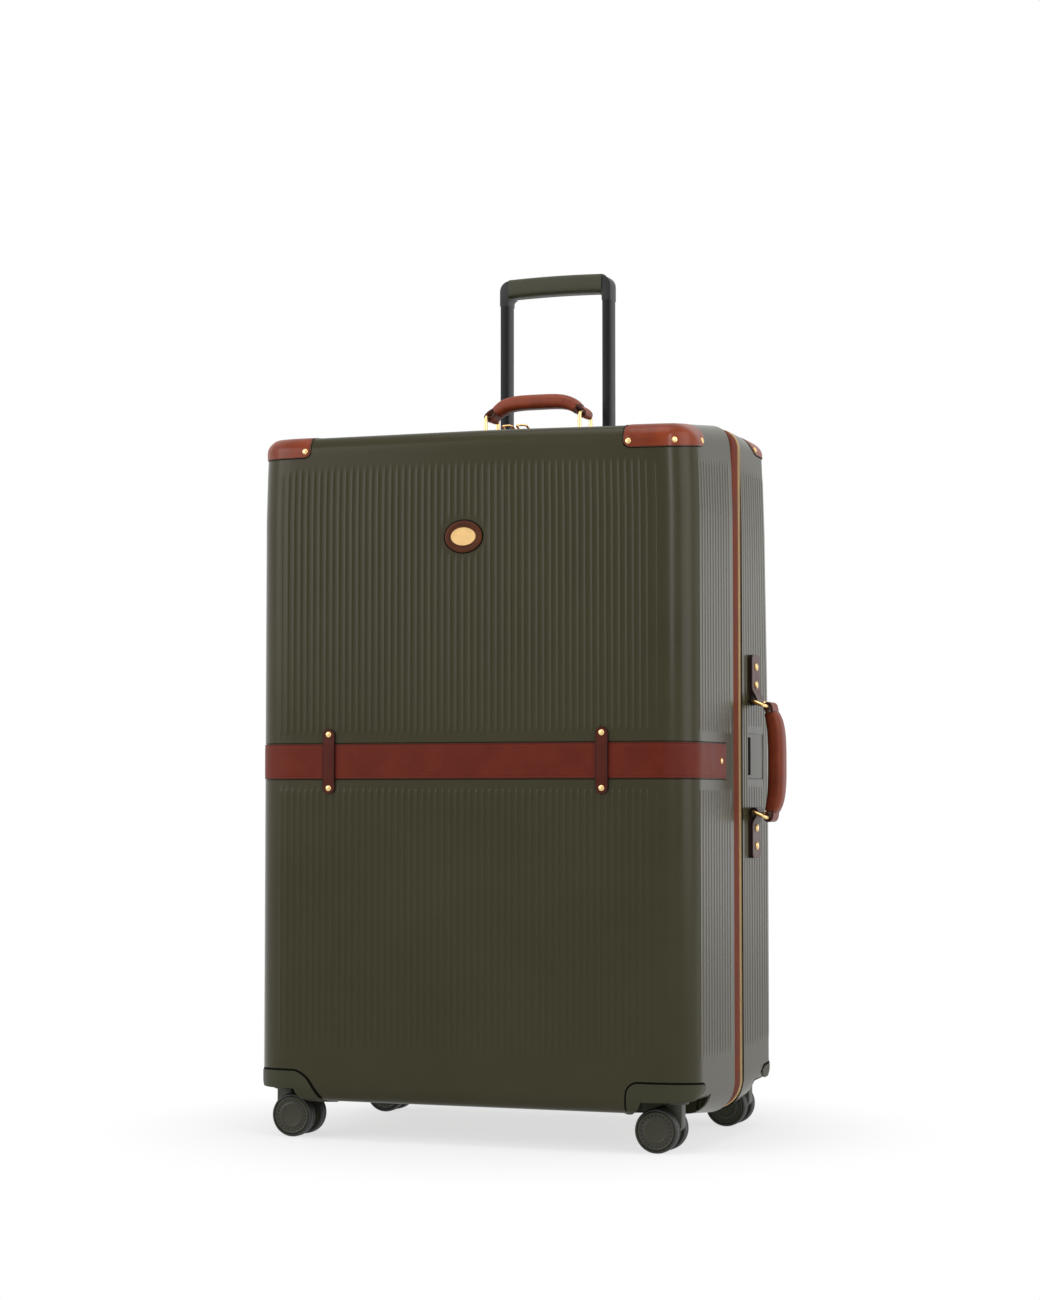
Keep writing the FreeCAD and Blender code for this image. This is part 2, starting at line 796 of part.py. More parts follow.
def swing_ring(x, pivot, length, width, sag):
    """Ring on its pivot at X, hanging over by a sag angle towards +X."""
    ring = wire_ring(width, length, ring_wire, ring_corner)
    return ring.rotated(Vector(0, 0, 0), back, sag).translated(Vector(x, 0, pivot))


def bar_bore(x, z, length):
    return Part.makeCylinder(ring_wire + ring_clearance, length, Vector(x, -length / 2, z), back)


def swept_arc(width, thickness, corner, crown, radius, half_length):
    """Rounded bar bent along an arc whose crown is at a height on Z."""
    centre = Vector(0, 0, crown - radius)
    angle = math.degrees(math.asin(half_length / radius))
    outline = rectangle(-width / 2, width / 2, crown - thickness / 2, crown + thickness / 2, corner)
    section = Part.Face(rounded(outline, on_side(0.0))).rotated(centre, back, -angle)
    return section.revolve(centre, back, 2 * angle)


def leather_grip(spacing, bar_height, rise, sleeve_half):
    """Arched strap with a loop round each ring's far bar and a padded sleeve over its middle."""
    half = spacing / 2
    radius = (half ** 2 + rise ** 2) / (2 * rise)
    crown = bar_height + rise
    strap = swept_arc(strap_width, strap_thickness, strap_round, crown, radius, half)
    sleeve = swept_arc(sleeve_width, sleeve_thickness, sleeve_round, crown, radius, sleeve_half)
    loops = [Part.makeCylinder(loop_radius, strap_width, Vector(x, -strap_width / 2, bar_height), back)
             for x in (-half, half)]
    bores = [bar_bore(x, bar_height, 2 * strap_width) for x in (-half, half)]
    return sleeve.fuse([strap] + loops).cut(bores)


def bracket(x):
    """Brass foot with the knuckle that a ring turns in."""
    half = top_bracket_length / 2
    foot = prism(
        [(x - half, 0.0, 0.0), (x + half, 0.0, 0.0), (x + half, top_bracket_plate, 0.0),
         (x + knuckle_radius, top_bracket_plate, 0.0), (x + knuckle_neck, top_handle_pivot, 0.0),
         (x - knuckle_neck, top_handle_pivot, 0.0), (x - knuckle_radius, top_bracket_plate, 0.0),
         (x - half, top_bracket_plate, 0.0)],
        on_front(-knuckle_length / 2), back * knuckle_length)
    knuckle = Part.makeCylinder(knuckle_radius, knuckle_length,
                                Vector(x, -knuckle_length / 2, top_handle_pivot), back)
    return foot.fuse(knuckle).cut(bar_bore(x, top_handle_pivot, 2 * knuckle_length)).removeSplitter()


def leather_tab(side):
    """Tab riveted to the case, narrowed beside the ring to the fold that the ring turns in."""
    x = side * side_handle_spacing / 2
    shoulder = x + side * (knuckle_radius + ring_wire)
    end = x + side * side_tab_length
    half = side_tab_width / 2
    plate = block(min(shoulder, end), max(shoulder, end), -half, half, 0.0, side_tab_thickness)
    half = knuckle_length / 2
    neck = block(min(x, end), max(x, end), -half, half, 0.0, side_tab_thickness)
    fold = Part.makeCylinder(knuckle_radius, knuckle_length, Vector(x, -half, side_handle_pivot), back)
    bore = bar_bore(x, side_handle_pivot, 2 * side_tab_width)
    return plate.fuse([neck, fold]).cut(bore).removeSplitter()


def place_top(shape):
    return shape.translated(Vector(0, top_handle_y, case_top))


def place_side(shape):
    turned = shape.rotated(Vector(0, 0, 0), back, 90)
    return turned.translated(Vector(half_width, side_handle_y, side_handle_z))


def swing_handles():
    half = top_handle_spacing / 2
    bar_height = top_handle_pivot + top_ring_length
    add("handle_brackets", place_top(bracket(-half)), place_top(bracket(half)))
    for name, x in (("left", -half), ("right", half)):
        ring = swing_ring(x, top_handle_pivot, top_ring_length, top_ring_width, 0.0)
        add("top_ring_" + name, place_top(ring))
    grip = leather_grip(top_handle_spacing, bar_height, top_handle_rise, top_sleeve_half)
    add("top_grip", place_top(grip))
    half = side_handle_spacing / 2
    sag = math.radians(side_handle_sag)
    bar_height = side_handle_pivot + side_ring_length * math.cos(sag)
    add("side_tabs", place_side(leather_tab(-1)), place_side(leather_tab(1)))
    for name, x in (("upper", -half), ("lower", half)):
        ring = swing_ring(x, side_handle_pivot, side_ring_length, side_ring_width, side_handle_sag)
        add("side_ring_" + name, place_side(ring))
    grip = leather_grip(side_handle_spacing, bar_height, side_handle_rise, side_sleeve_half)
    add("side_grip", place_side(grip.translated(Vector(side_ring_length * math.sin(sag), 0, 0))))


def rear_trim():
    add("rear_caps", corner_cap(-1, 1), corner_cap(1, 1))
    rivets = cap_rivets(-1, 1) + cap_rivets(1, 1)
    for side in (-1, 1):
        for reach in side_tab_rivets:
            z = side_handle_z + side * (side_handle_spacing / 2 + reach)
            rivets.append(rivet(Vector(half_width + side_tab_thickness, side_handle_y, z), right))
    add("rear_rivets", *rivets)


# Lock and zip sliders

def dial_places():
    return [dial_offset + (i - 1) * dial_pitch for i in range(3)]


def lock():
    y0 = rear_rim + lock_gap
    y1 = y0 + lock_width
    y_mid = (y0 + y1) / 2
    lock_top = case_top + lock_height
    dial_z = lock_top - dial_sink
    outline = rectangle(-lock_length / 2, lock_length / 2, y0, y1, lock_round)
    body = prism(outline, on_plan(case_top), up * lock_height)
    slots = []
    for x in dial_places():
        half = dial_thickness / 2 + dial_clearance
        reach = dial_radius + dial_clearance
        slots.append(block(x - half, x + half, y_mid - reach, y_mid + reach, dial_z - reach, lock_top + far))
    half = lock_button_size / 2 + button_clearance
    slots.append(block(lock_button_offset - half, lock_button_offset + half, y_mid - half, y_mid + half,
                       lock_top - lock_button_depth - lock_button_travel, lock_top + far))
    pin_start = dial_places()[0] - dial_pitch
    pin = Part.makeCylinder(dial_pin, 4 * dial_pitch, Vector(pin_start, y_mid, dial_z), right)
    add("lock_body", body.cut(slots).fuse(pin))
    for i, x in enumerate(dial_places()):
        start = Vector(x - dial_thickness / 2, y_mid, dial_z)
        disc = Part.makeCylinder(dial_radius, dial_thickness, start, right)
        bore = Part.makeCylinder(dial_pin + running_clearance, dial_thickness, start, right)
        add("lock_dial_%d" % (i + 1), disc.cut(bore))
    half = lock_button_size / 2
    add("lock_button", prism(
        rectangle(lock_button_offset - half, lock_button_offset + half, y_mid - half, y_mid + half,
                  lock_button_round),
        on_plan(lock_top - lock_button_depth), up * (lock_button_depth + lock_button_proud)))


def zip_slider(x):
    """Slider on the outside of the teeth, with the lug that its pull hangs on, and the pull."""
    base_z = case_top - chain_inset + slider_gap
    top_z = base_z + slider_thickness
    pivot_z = top_z + pull_wire + pull_gap
    lug_top = pivot_z + lug_cover
    base = prism(
        rectangle(x - slider_length / 2, x + slider_length / 2, zip_line - slider_width / 2,
                  zip_line + slider_width / 2, slider_round),
        on_plan(base_z), up * slider_thickness)
    lug = prism(
        [(zip_line - lug_width / 2, base_z, 0.0), (zip_line + lug_width / 2, base_z, 0.0),
         (zip_line + lug_width / 2, lug_top, lug_round), (zip_line - lug_width / 2, lug_top, lug_round)],
        on_side(x - lug_length / 2), right * lug_length)
    bore = Part.makeCylinder(pull_wire + ring_clearance, slider_length,
                             Vector(x - slider_length / 2, zip_line, pivot_z), right)
    pull = wire_ring(pull_width, pull_length, pull_wire, pull_corner).rotated(Vector(0, 0, 0), up, 90)
    pull = pull.rotated(Vector(0, 0, 0), right, pull_lean)
    return base.fuse(lug).cut(bore), pull.translated(Vector(x, zip_line, pivot_z))


def sliders():
    for side, offset in (("left", -slider_offset), ("right", slider_offset)):
        slider, pull = zip_slider(slider_centre + offset)
        add("zip_slider_" + side, slider)
        add("zip_pull_" + side, pull)


# Feet and packing straps

def foot(y, z):
    cone = Part.makeCone(foot_radius, foot_tip_radius, foot_height)
    return turned_to(cone, -right).translated(Vector(-half_width, y, z))


def feet():
    heights = (case_bottom + foot_rise, case_top - foot_drop)
    add("front_feet", *[foot(front_face + foot_front_inset, z) for z in heights])
    add("rear_feet", *[foot(rear_face - foot_rear_inset, z) for z in heights])


def packing():
    y1 = tunnel_face - lining_wall
    y0 = y1 - packing_strap_thickness
    middle = (case_bottom + case_top) / 2
    pieces = []
    for x in (-packing_strap_spacing / 2, packing_strap_spacing / 2):
        half = packing_strap_width / 2
        strap = block(x - half, x + half, y0, y1, 0, case_top)
        pieces.append(strap.common(case_form(wall + lining_wall)))
        half = buckle_width / 2
        outline = rectangle(x - half, x + half, middle - buckle_length / 2, middle + buckle_length / 2,
                            buckle_round)
        pieces.append(prism(outline, on_front(y0 - buckle_thickness), back * buckle_thickness))
    add("packing_straps", *pieces)


def casters():
    housings_by_side = {-1: [], 1: []}
    for name, (x, y, side_x, side_y) in caster_places().items():
        housings_by_side[side_y].append(caster_housing(x, y, side_x, side_y))
        axle, hubs, tyres = caster_wheels(x, y, side_x)
        add("caster_fork_" + name, caster_fork(x, y, side_x))
        add("caster_axle_" + name, axle)
        add("caster_hubs_" + name, *hubs)
        add("caster_tyres_" + name, *tyres)
    add("front_housings", *housings_by_side[-1])
    add("rear_housings", *housings_by_side[1])


def build():
    add("front_shell", front_shell())
    add("rear_shell", rear_shell())
    add("front_lining", front_lining())
    add("rear_lining", rear_lining())
    closure()
    front_trim()
    rear_trim()
    casters()
    feet()
    telescopic_handle()
    swing_handles()
    lock()
    sliders()
    packing()


def export():
    os.makedirs("parts", exist_ok=True)
    for name, solids in nodes.items():
        shape = solids[0] if len(solids) == 1 else Part.makeCompound(solids)
        shape.exportStep("parts/" + name + ".step")
        found = shape.Solids
        state = "valid" if shape.isValid() else "NOT VALID"
        print(name, len(found), "solids", round(sum(s.Volume for s in found)), "mm3", state)


build()
export()
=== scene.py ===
import json
import math
import bpy
import numpy as np
from mathutils import Matrix, Vector

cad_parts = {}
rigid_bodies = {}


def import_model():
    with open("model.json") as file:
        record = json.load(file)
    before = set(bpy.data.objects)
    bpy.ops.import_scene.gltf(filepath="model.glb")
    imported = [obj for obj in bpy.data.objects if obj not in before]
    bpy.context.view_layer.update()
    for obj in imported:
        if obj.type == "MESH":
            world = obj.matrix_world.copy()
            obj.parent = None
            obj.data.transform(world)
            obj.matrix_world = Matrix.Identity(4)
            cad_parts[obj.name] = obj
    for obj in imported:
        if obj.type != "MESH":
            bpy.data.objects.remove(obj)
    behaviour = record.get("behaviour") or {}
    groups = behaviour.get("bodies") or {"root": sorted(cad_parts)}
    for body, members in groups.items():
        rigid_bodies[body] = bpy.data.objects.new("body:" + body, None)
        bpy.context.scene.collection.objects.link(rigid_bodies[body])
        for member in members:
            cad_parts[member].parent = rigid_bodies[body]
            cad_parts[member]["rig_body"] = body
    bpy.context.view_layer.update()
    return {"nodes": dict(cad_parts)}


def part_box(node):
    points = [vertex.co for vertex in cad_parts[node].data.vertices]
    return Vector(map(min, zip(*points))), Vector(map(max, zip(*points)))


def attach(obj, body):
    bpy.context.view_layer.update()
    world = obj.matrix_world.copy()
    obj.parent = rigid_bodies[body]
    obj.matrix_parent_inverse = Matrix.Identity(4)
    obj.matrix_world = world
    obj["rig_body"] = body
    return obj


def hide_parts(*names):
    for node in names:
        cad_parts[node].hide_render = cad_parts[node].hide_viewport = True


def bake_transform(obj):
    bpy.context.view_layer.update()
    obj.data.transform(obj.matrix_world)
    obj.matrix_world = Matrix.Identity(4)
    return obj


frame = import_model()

# Hard-shell suitcase with leather trim. Sizes are in millimetres until a mesh is placed.
mm = 0.001
print("frame loaded:", len(frame["nodes"]), "nodes")


# Selecting, shaping and finishing

def boxOf(node):
    # low and high corner of a CAD node, in millimetres
    return [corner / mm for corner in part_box(node)]


def release():
    if bpy.context.object and bpy.context.object.mode != "OBJECT":
        bpy.ops.object.mode_set(mode="OBJECT")
    bpy.ops.object.select_all(action="DESELECT")


def takeUp(obj):
    release()
    obj.select_set(True)
    bpy.context.view_layer.objects.active = obj


def shape(obj, operation, faces=None, edges=None, **options):
    # run an edit-mode operator on faces or edges that a test picks by place, or on everything
    takeUp(obj)
    mesh = obj.data
    everything = faces is None and edges is None
    for parts in (mesh.vertices, mesh.edges, mesh.polygons):
        parts.foreach_set("select", [everything] * len(parts))
    if faces:
        mesh.polygons.foreach_set("select", [bool(faces(f.center / mm, f.normal)) for f in mesh.polygons])
    if edges:
        ends = [[mesh.vertices[i].co / mm for i in edge.vertices] for edge in mesh.edges]
        mesh.edges.foreach_set("select", [bool(edges(a, b)) for a, b in ends])
    bpy.context.tool_settings.mesh_select_mode = (everything, edges is not None, faces is not None)
    bpy.ops.object.mode_set(mode="EDIT")
    operation(**options)
    bpy.ops.object.mode_set(mode="OBJECT")


def modify(obj, kind, **settings):
    takeUp(obj)
    modifier = obj.modifiers.new(kind, kind)
    for key, value in settings.items():
        setattr(modifier, key, value)
    bpy.ops.object.modifier_apply(modifier=modifier.name)


def smooth(obj, angle=38.0):
    takeUp(obj)
    bpy.ops.object.shade_smooth_by_angle(angle=math.radians(angle))


def soften(obj, width, segments=2, angle=40.0):
    modify(obj, "BEVEL", width=width * mm, segments=segments, limit_method="ANGLE",
           angle_limit=math.radians(angle), use_clamp_overlap=True)


def thicken(obj, thickness, edge=0.0, offset=-1.0, finishes=()):
    # sheet to a wall, with its edges rounded; a second finish is for the cut edge
    for finish in finishes:
        obj.data.materials.append(finish)
    modify(obj, "SOLIDIFY", thickness=thickness * mm, offset=offset, use_even_offset=True,
           material_offset_rim=len(finishes) - 1 if finishes else 0)
    if edge:
        soften(obj, edge, 2, 55.0)
    smooth(obj)


def place(obj, matrix):
    obj.data.transform(matrix)
    return obj


def shift(x, y, z):
    return Matrix.Translation(Vector((x, y, z)) * mm)


def facing(point, direction):
    # matrix that stands a piece drawn along Z on a point, looking along a direction
    turn = Vector(direction).to_track_quat("Z", "Y").to_matrix().to_4x4()
    return shift(*point) @ turn


def meshObject(name, points, edges=(), faces=()):
    mesh = bpy.data.meshes.new(name)
    mesh.from_pydata([Vector(p) * mm for p in points], edges, faces)
    obj = bpy.data.objects.new(name, mesh)
    bpy.context.scene.collection.objects.link(obj)
    return obj


def joined(name, objs):
    takeUp(objs[0])
    for obj in objs:
        obj.select_set(True)
    if len(objs) > 1:
        bpy.ops.object.join()
    objs[0].name = name
    return objs[0]


def mirrored(name, make, offset=1):
    # left and right copy of a piece, which make(place) draws
    return joined(name, [make(-offset), make(offset)])


def stamped(name, model, places):
    # one mesh of many copies of a small model
    base = [v.co.copy() for v in model.data.vertices]
    loops = [tuple(f.vertices) for f in model.data.polygons]
    points = [(spot @ co) / mm for spot in places for co in base]
    faces = [tuple(i + n * len(base) for i in loop) for n in range(len(places)) for loop in loops]
    made = meshObject(name, points, (), faces)
    bpy.data.objects.remove(model)
    return made


def turned(name, profile, steps=48):
    # body spun about Z from (radius, height) points
    links = [(i, i + 1) for i in range(len(profile) - 1)]
    obj = meshObject(name, [(r, 0, h) for r, h in profile], links)
    shape(obj, bpy.ops.mesh.spin, steps=steps, angle=2 * math.pi, center=(0, 0, 0), axis=(0, 0, 1))
    shape(obj, bpy.ops.mesh.remove_doubles, threshold=1e-6)
    shape(obj, bpy.ops.mesh.normals_make_consistent, inside=False)
    smooth(obj, 32.0)
    return obj


def gridSheet(name, columns, rows, placing, flip=False):
    # grid whose points are laid where placing(column, row) says; it may also give an edge value
    release()
    bpy.ops.mesh.primitive_grid_add(x_subdivisions=columns - 1, y_subdivisions=rows - 1, size=2)
    sheet = bpy.context.object
    sheet.name = name
    count = len(sheet.data.vertices)
    flat = np.zeros(count * 3)
    sheet.data.vertices.foreach_get("co", flat)
    flat = (flat.reshape(-1, 3) + 1) / 2
    column = np.rint(flat[:, 0] * (columns - 1)).astype(int)
    row = np.rint(flat[:, 1] * (rows - 1)).astype(int)
    points, edge = placing(column, row)
    sheet.data.vertices.foreach_set("co", (points * mm).ravel())
    if edge is not None:
        sheet.data.attributes.new("edge", "FLOAT", "POINT").data.foreach_set("value", edge.astype(np.float32))
    shape(sheet, bpy.ops.mesh.remove_doubles, threshold=1e-6)
    if flip:
        shape(sheet, bpy.ops.mesh.flip_normals)
    return sheet


def rodLoop(name, points, radius, closed=True):
    # round wire along a path
    curve = bpy.data.curves.new(name, "CURVE")
    curve.dimensions = "3D"
    curve.bevel_depth = radius * mm
    curve.bevel_resolution = 4
    curve.use_fill_caps = not closed
    spline = curve.splines.new("POLY")
    spline.points.add(len(points) - 1)
    for point, spot in zip(spline.points, points):
        point.co = (*(Vector(spot) * mm), 1)
    spline.use_cyclic_u = closed
    obj = bpy.data.objects.new(name, curve)
    bpy.context.scene.collection.objects.link(obj)
    takeUp(obj)
    bpy.ops.object.convert(target="MESH")
    smooth(obj, 60.0)
    return obj


def slab(name, outline, y0, y1, edge, segments=3):
    # plate cut to an outline in X and Z, from one depth to another, with rounded edges
    obj = meshObject(name, [(x, y0, z) for x, z in outline], (), [tuple(range(len(outline)))])
    shape(obj, bpy.ops.mesh.extrude_region_move, TRANSFORM_OT_translate={"value": (0, (y1 - y0) * mm, 0)})
    shape(obj, bpy.ops.mesh.normals_make_consistent, inside=False)
    soften(obj, edge, segments, 50.0)
    smooth(obj)
    return obj


def arcPoints(centre, radius, start, end, count):
    angles = [math.radians(start + (end - start) * i / (count - 1)) for i in range(count)]
    return [(centre[0] + radius * math.cos(a), centre[1] + radius * math.sin(a)) for a in angles]


def roundedOutline(u0, u1, v0, v1, radius, count=7):
    # rectangle with round corners, as points
    points = []
    for cu, cv, start in ((u1 - radius, v1 - radius, 0), (u0 + radius, v1 - radius, 90),
                          (u0 + radius, v0 + radius, 180), (u1 - radius, v0 + radius, 270)):
        points += arcPoints((cu, cv), radius, start, start + 90, count)
    return points


def copyOfNode(node, edge=0.0, angle=40.0):
    # the CAD node's own form, merged, with its hard edges softened
    source = frame["nodes"][node]
    obj = bpy.data.objects.new(node + "_look", source.data.copy())
    bpy.context.scene.collection.objects.link(obj)
    shape(obj, bpy.ops.mesh.remove_doubles, threshold=2e-6)
    shape(obj, bpy.ops.mesh.dissolve_limited, angle_limit=math.radians(0.4))
    if edge:
        soften(obj, edge, 2, angle)
    smooth(obj)
    return obj


def finishPiece(obj, name, material, slot, body, *nodes):
    obj.name = name
    obj.data.name = name
    if material.name not in obj.data.materials:
        obj.data.materials.clear()
        obj.data.materials.append(material)
    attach(obj, body)
    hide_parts(*nodes)
    return obj


def dressNode(node, material, slot, edge=0.4, angle=40.0):
    body = frame["nodes"][node]["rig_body"]
    return finishPiece(copyOfNode(node, edge, angle), node + "_look", material, slot, body, node)


def smoothStep(value, low, high):
    t = np.clip((value - low) / (high - low), 0, 1)
    return t * t * (3 - 2 * t)


def squared(turn, bulge):
    # share of a round section at a sine or cosine, filled out towards a square one
    return np.sign(turn) * np.abs(turn) ** bulge


def window(value, low, high, soft):
    return smoothStep(value, low - soft, low) * (1 - smoothStep(value, high, high + soft))


# Materials

def addNode(material, kind, inputs=None, **settings):
    node = material.node_tree.nodes.new("ShaderNode" + kind)
    for key, value in settings.items():
        setattr(node, key, value)
    for socket, value in (inputs or {}).items():
        if isinstance(value, bpy.types.NodeSocket):
            material.node_tree.links.new(value, node.inputs[socket])
        else:
            node.inputs[socket].default_value = value
    return node


def ramp(material, factor, low, high, start=0.32, end=0.68):
    node = addNode(material, "ValToRGB", {"Fac": factor})
    stops = node.color_ramp.elements
    stops[0].position, stops[0].color = start, (*low, 1)
    stops[1].position, stops[1].color = end, (*high, 1)
    return node.outputs["Color"]


def grainHeight(material, coords, kind, scale):
    if kind == "pebble":       # leather grain
        cells = addNode(material, "TexVoronoi", {"Vector": coords, "Scale": scale, "Smoothness": 0.6},
                        feature="SMOOTH_F1")
        return cells.outputs["Distance"]
    if kind == "weave":        # threads that run along each axis
        total = None
        for axis in "XYZ":
            wave = addNode(material, "TexWave", {"Vector": coords, "Scale": scale}, wave_type="BANDS",
                           bands_direction=axis).outputs["Fac"]
            total = wave if total is None else addNode(material, "Math", {0: total, 1: wave}).outputs[0]
        return total
    if kind == "brushed":      # fine scratches along X
        coords = addNode(material, "Mapping", {"Vector": coords, "Scale": (0.04, 1.0, 1.0)}).outputs["Vector"]
    return addNode(material, "TexNoise", {"Vector": coords, "Scale": scale, "Detail": 3.0}).outputs["Fac"]


def finishOf(name, colour, shade, mottle=14.0, roughness=(0.4, 0.5), grain=(), edge=None, shine=0.5,
             **sockets):
    # two-tone surface with uneven gloss, layers of grain in millimetres and a tint along edges
    material = bpy.data.materials.new(name)
    material.use_nodes = True
    links = material.node_tree.links
    shader = material.node_tree.nodes["Principled BSDF"]
    shader.inputs["Specular IOR Level"].default_value = shine
    for socket, value in sockets.items():
        shader.inputs[socket.replace("_", " ")].default_value = value
    coords = addNode(material, "TexCoord").outputs["Object"]
    cloud = addNode(material, "TexNoise", {"Vector": coords, "Scale": mottle, "Detail": 5.0,
                                           "Roughness": 0.62})
    tone = ramp(material, cloud.outputs["Fac"], shade, colour)
    if edge:
        rim = addNode(material, "Attribute", attribute_name="edge")
        mix = addNode(material, "Mix", {0: rim.outputs["Fac"], 6: tone, 7: (*edge, 1)}, data_type="RGBA")
        tone = mix.outputs[2]
    links.new(tone, shader.inputs["Base Color"])
    gloss = addNode(material, "MapRange", {"Value": cloud.outputs["Fac"], "From Min": 0.3, "From Max": 0.7,
                                           "To Min": roughness[0], "To Max": roughness[1]})
    links.new(gloss.outputs["Result"], shader.inputs["Roughness"])
    normal = None
    for kind, scale, depth in grain:
        height = grainHeight(material, coords, kind, scale)
        bump = addNode(material, "Bump", {"Height": height, "Distance": depth * mm, "Strength": 1.0})
        if normal:
            links.new(normal, bump.inputs["Normal"])
        normal = bump.outputs["Normal"]
    if normal:
        links.new(normal, shader.inputs["Normal"])
    return material


shellPlastic = finishOf("satinOliveShell", (0.044, 0.04, 0.019), (0.039, 0.035, 0.016), 7.0, (0.22, 0.26),
                        [("noise", 1400, 0.003), ("noise", 300, 0.002)], shine=0.14)
housingPlastic = finishOf("oliveHousing", (0.042, 0.042, 0.022), (0.036, 0.036, 0.019), 25.0, (0.42, 0.5),
                          [("noise", 1900, 0.02)], shine=0.14)
beltLeather = finishOf("beltLeather", (0.135, 0.019, 0.008), (0.1, 0.013, 0.006), 30.0, (0.42, 0.54),
                       [("pebble", 900, 0.03), ("noise", 240, 0.05)], (0.03, 0.006, 0.005),
                       shine=0.12)
keeperLeather = finishOf("keeperLeather", (0.08, 0.014, 0.008), (0.055, 0.01, 0.006), 30.0, (0.42, 0.54),
                         [("pebble", 900, 0.03)], (0.012, 0.004, 0.003), shine=0.12)
cognacLeather = finishOf("cognacLeather", (0.25, 0.04, 0.008), (0.17, 0.025, 0.006), 38.0, (0.34, 0.44),
                         [("pebble", 800, 0.025), ("noise", 210, 0.05)], (0.03, 0.008, 0.004),
                         shine=0.14, Coat_Weight=0.18, Coat_Roughness=0.16)
# the top handle's leather is a lighter copy of the side handle's: painted light for the light falling on the
# top handle
topHandleLitLeather = finishOf("topHandleLeatherLitCopy", (0.3, 0.062, 0.026), (0.2, 0.04, 0.018), 38.0, (0.36, 0.48),
                      [("pebble", 800, 0.03), ("noise", 210, 0.06)], (0.06, 0.014, 0.008), shine=0.24)
handleLeather = finishOf("handleLeather", (0.2, 0.036, 0.012), (0.13, 0.023, 0.009), 38.0, (0.36, 0.48),
                         [("pebble", 800, 0.03), ("noise", 210, 0.06)], (0.05, 0.012, 0.006),
                         shine=0.18)
bandLeather = finishOf("bandLeather", (0.15, 0.027, 0.01), (0.1, 0.017, 0.007), 38.0, (0.62, 0.72),
                       [("pebble", 800, 0.03), ("noise", 210, 0.05)], shine=0.1)
# pale finish for the caps' cut rims: partly the raw leather's own tone, partly a painted highlight along the
# edge
cutEdgeAndHighlight = finishOf("cutLeatherEdgeAndHighlight", (0.34, 0.17, 0.09), (0.22, 0.1, 0.05), 120.0, (0.55, 0.7))
tabLeather = finishOf("tabLeather", (0.06, 0.016, 0.013), (0.042, 0.012, 0.01), 40.0, (0.3, 0.42),
                      [("pebble", 800, 0.03)], (0.015, 0.005, 0.004), shine=0.15)
padLeather = finishOf("badgeLeather", (0.1, 0.03, 0.011), (0.06, 0.018, 0.008), 60.0, (0.5, 0.6),
                      [("pebble", 900, 0.04)], shine=0.12)
threadFinish = finishOf("waxedThread", (0.12, 0.03, 0.014), (0.08, 0.02, 0.01), 300.0, (0.5, 0.6))
brass = finishOf("polishedBrass", (0.83, 0.58, 0.27), (0.72, 0.48, 0.2), 60.0, (0.16, 0.28),
                 [("noise", 500, 0.01)], Metallic=1.0)
zipBrass = finishOf("zipBrass", (0.62, 0.43, 0.2), (0.52, 0.34, 0.15), 140.0, (0.42, 0.54), Metallic=0.85)
brushedGold = finishOf("brushedGold", (0.66, 0.45, 0.2), (0.56, 0.36, 0.15), 90.0, (0.5, 0.6),
                       [("brushed", 1500, 0.03)], Metallic=0.8)
zipTape = finishOf("wovenTape", (0.03, 0.028, 0.022), (0.022, 0.02, 0.016), 200.0, (0.75, 0.85),
                   [("weave", 300, 0.15)])
liningCloth = finishOf("liningCloth", (0.2, 0.155, 0.1), (0.165, 0.125, 0.08), 18.0, (0.7, 0.82),
                       [("weave", 280, 0.12), ("noise", 16, 0.7)], Sheen_Weight=0.25)
webbing = finishOf("strapWebbing", (0.035, 0.034, 0.026), (0.026, 0.025, 0.02), 60.0, (0.65, 0.8),
                   [("weave", 190, 0.25)])
tubeFinish = finishOf("anodisedTube", (0.012, 0.012, 0.012), (0.009, 0.009, 0.01), 30.0, (0.3, 0.38),
                      [("noise", 1800, 0.008)], shine=0.14)
gripPlastic = finishOf("oliveGrip", (0.047, 0.045, 0.026), (0.041, 0.04, 0.022), 30.0, (0.4, 0.5),
                       [("noise", 2200, 0.02)], shine=0.25)
blackPlastic = finishOf("blackPlastic", (0.012, 0.012, 0.012), (0.009, 0.009, 0.009), 30.0, (0.38, 0.5),
                        [("noise", 2200, 0.02)], shine=0.3)
forkPlastic = finishOf("forkPlastic", (0.034, 0.034, 0.022), (0.028, 0.028, 0.018), 40.0, (0.38, 0.48),
                       [("noise", 1900, 0.02)])
hubPlastic = finishOf("hubPlastic", (0.042, 0.042, 0.027), (0.036, 0.036, 0.023), 60.0, (0.4, 0.5),
                      [("noise", 1900, 0.02)], shine=0.25)
tyreRubber = finishOf("tyreRubber", (0.016, 0.016, 0.014), (0.012, 0.012, 0.011), 60.0, (0.5, 0.62),
                      [("noise", 1500, 0.03)])
steel = finishOf("pinSteel", (0.5, 0.5, 0.5), (0.42, 0.42, 0.43), 80.0, (0.25, 0.35), Metallic=1.0)
aluminium = finishOf("channelAluminium", (0.5, 0.5, 0.51), (0.44, 0.44, 0.45), 30.0, (0.35, 0.45),
                     Metallic=1.0)
# near-black finish for thin sheets laid in gaps, slits and cut rims: painted shade
gapShadow = finishOf("paintedGapShade", (0.005, 0.005, 0.004), (0.003, 0.003, 0.003), 40.0, (0.7, 0.8),
                     shine=0.02)
print("materials made")


# The case's skin: three rounded outlines, with their meeting lines eased

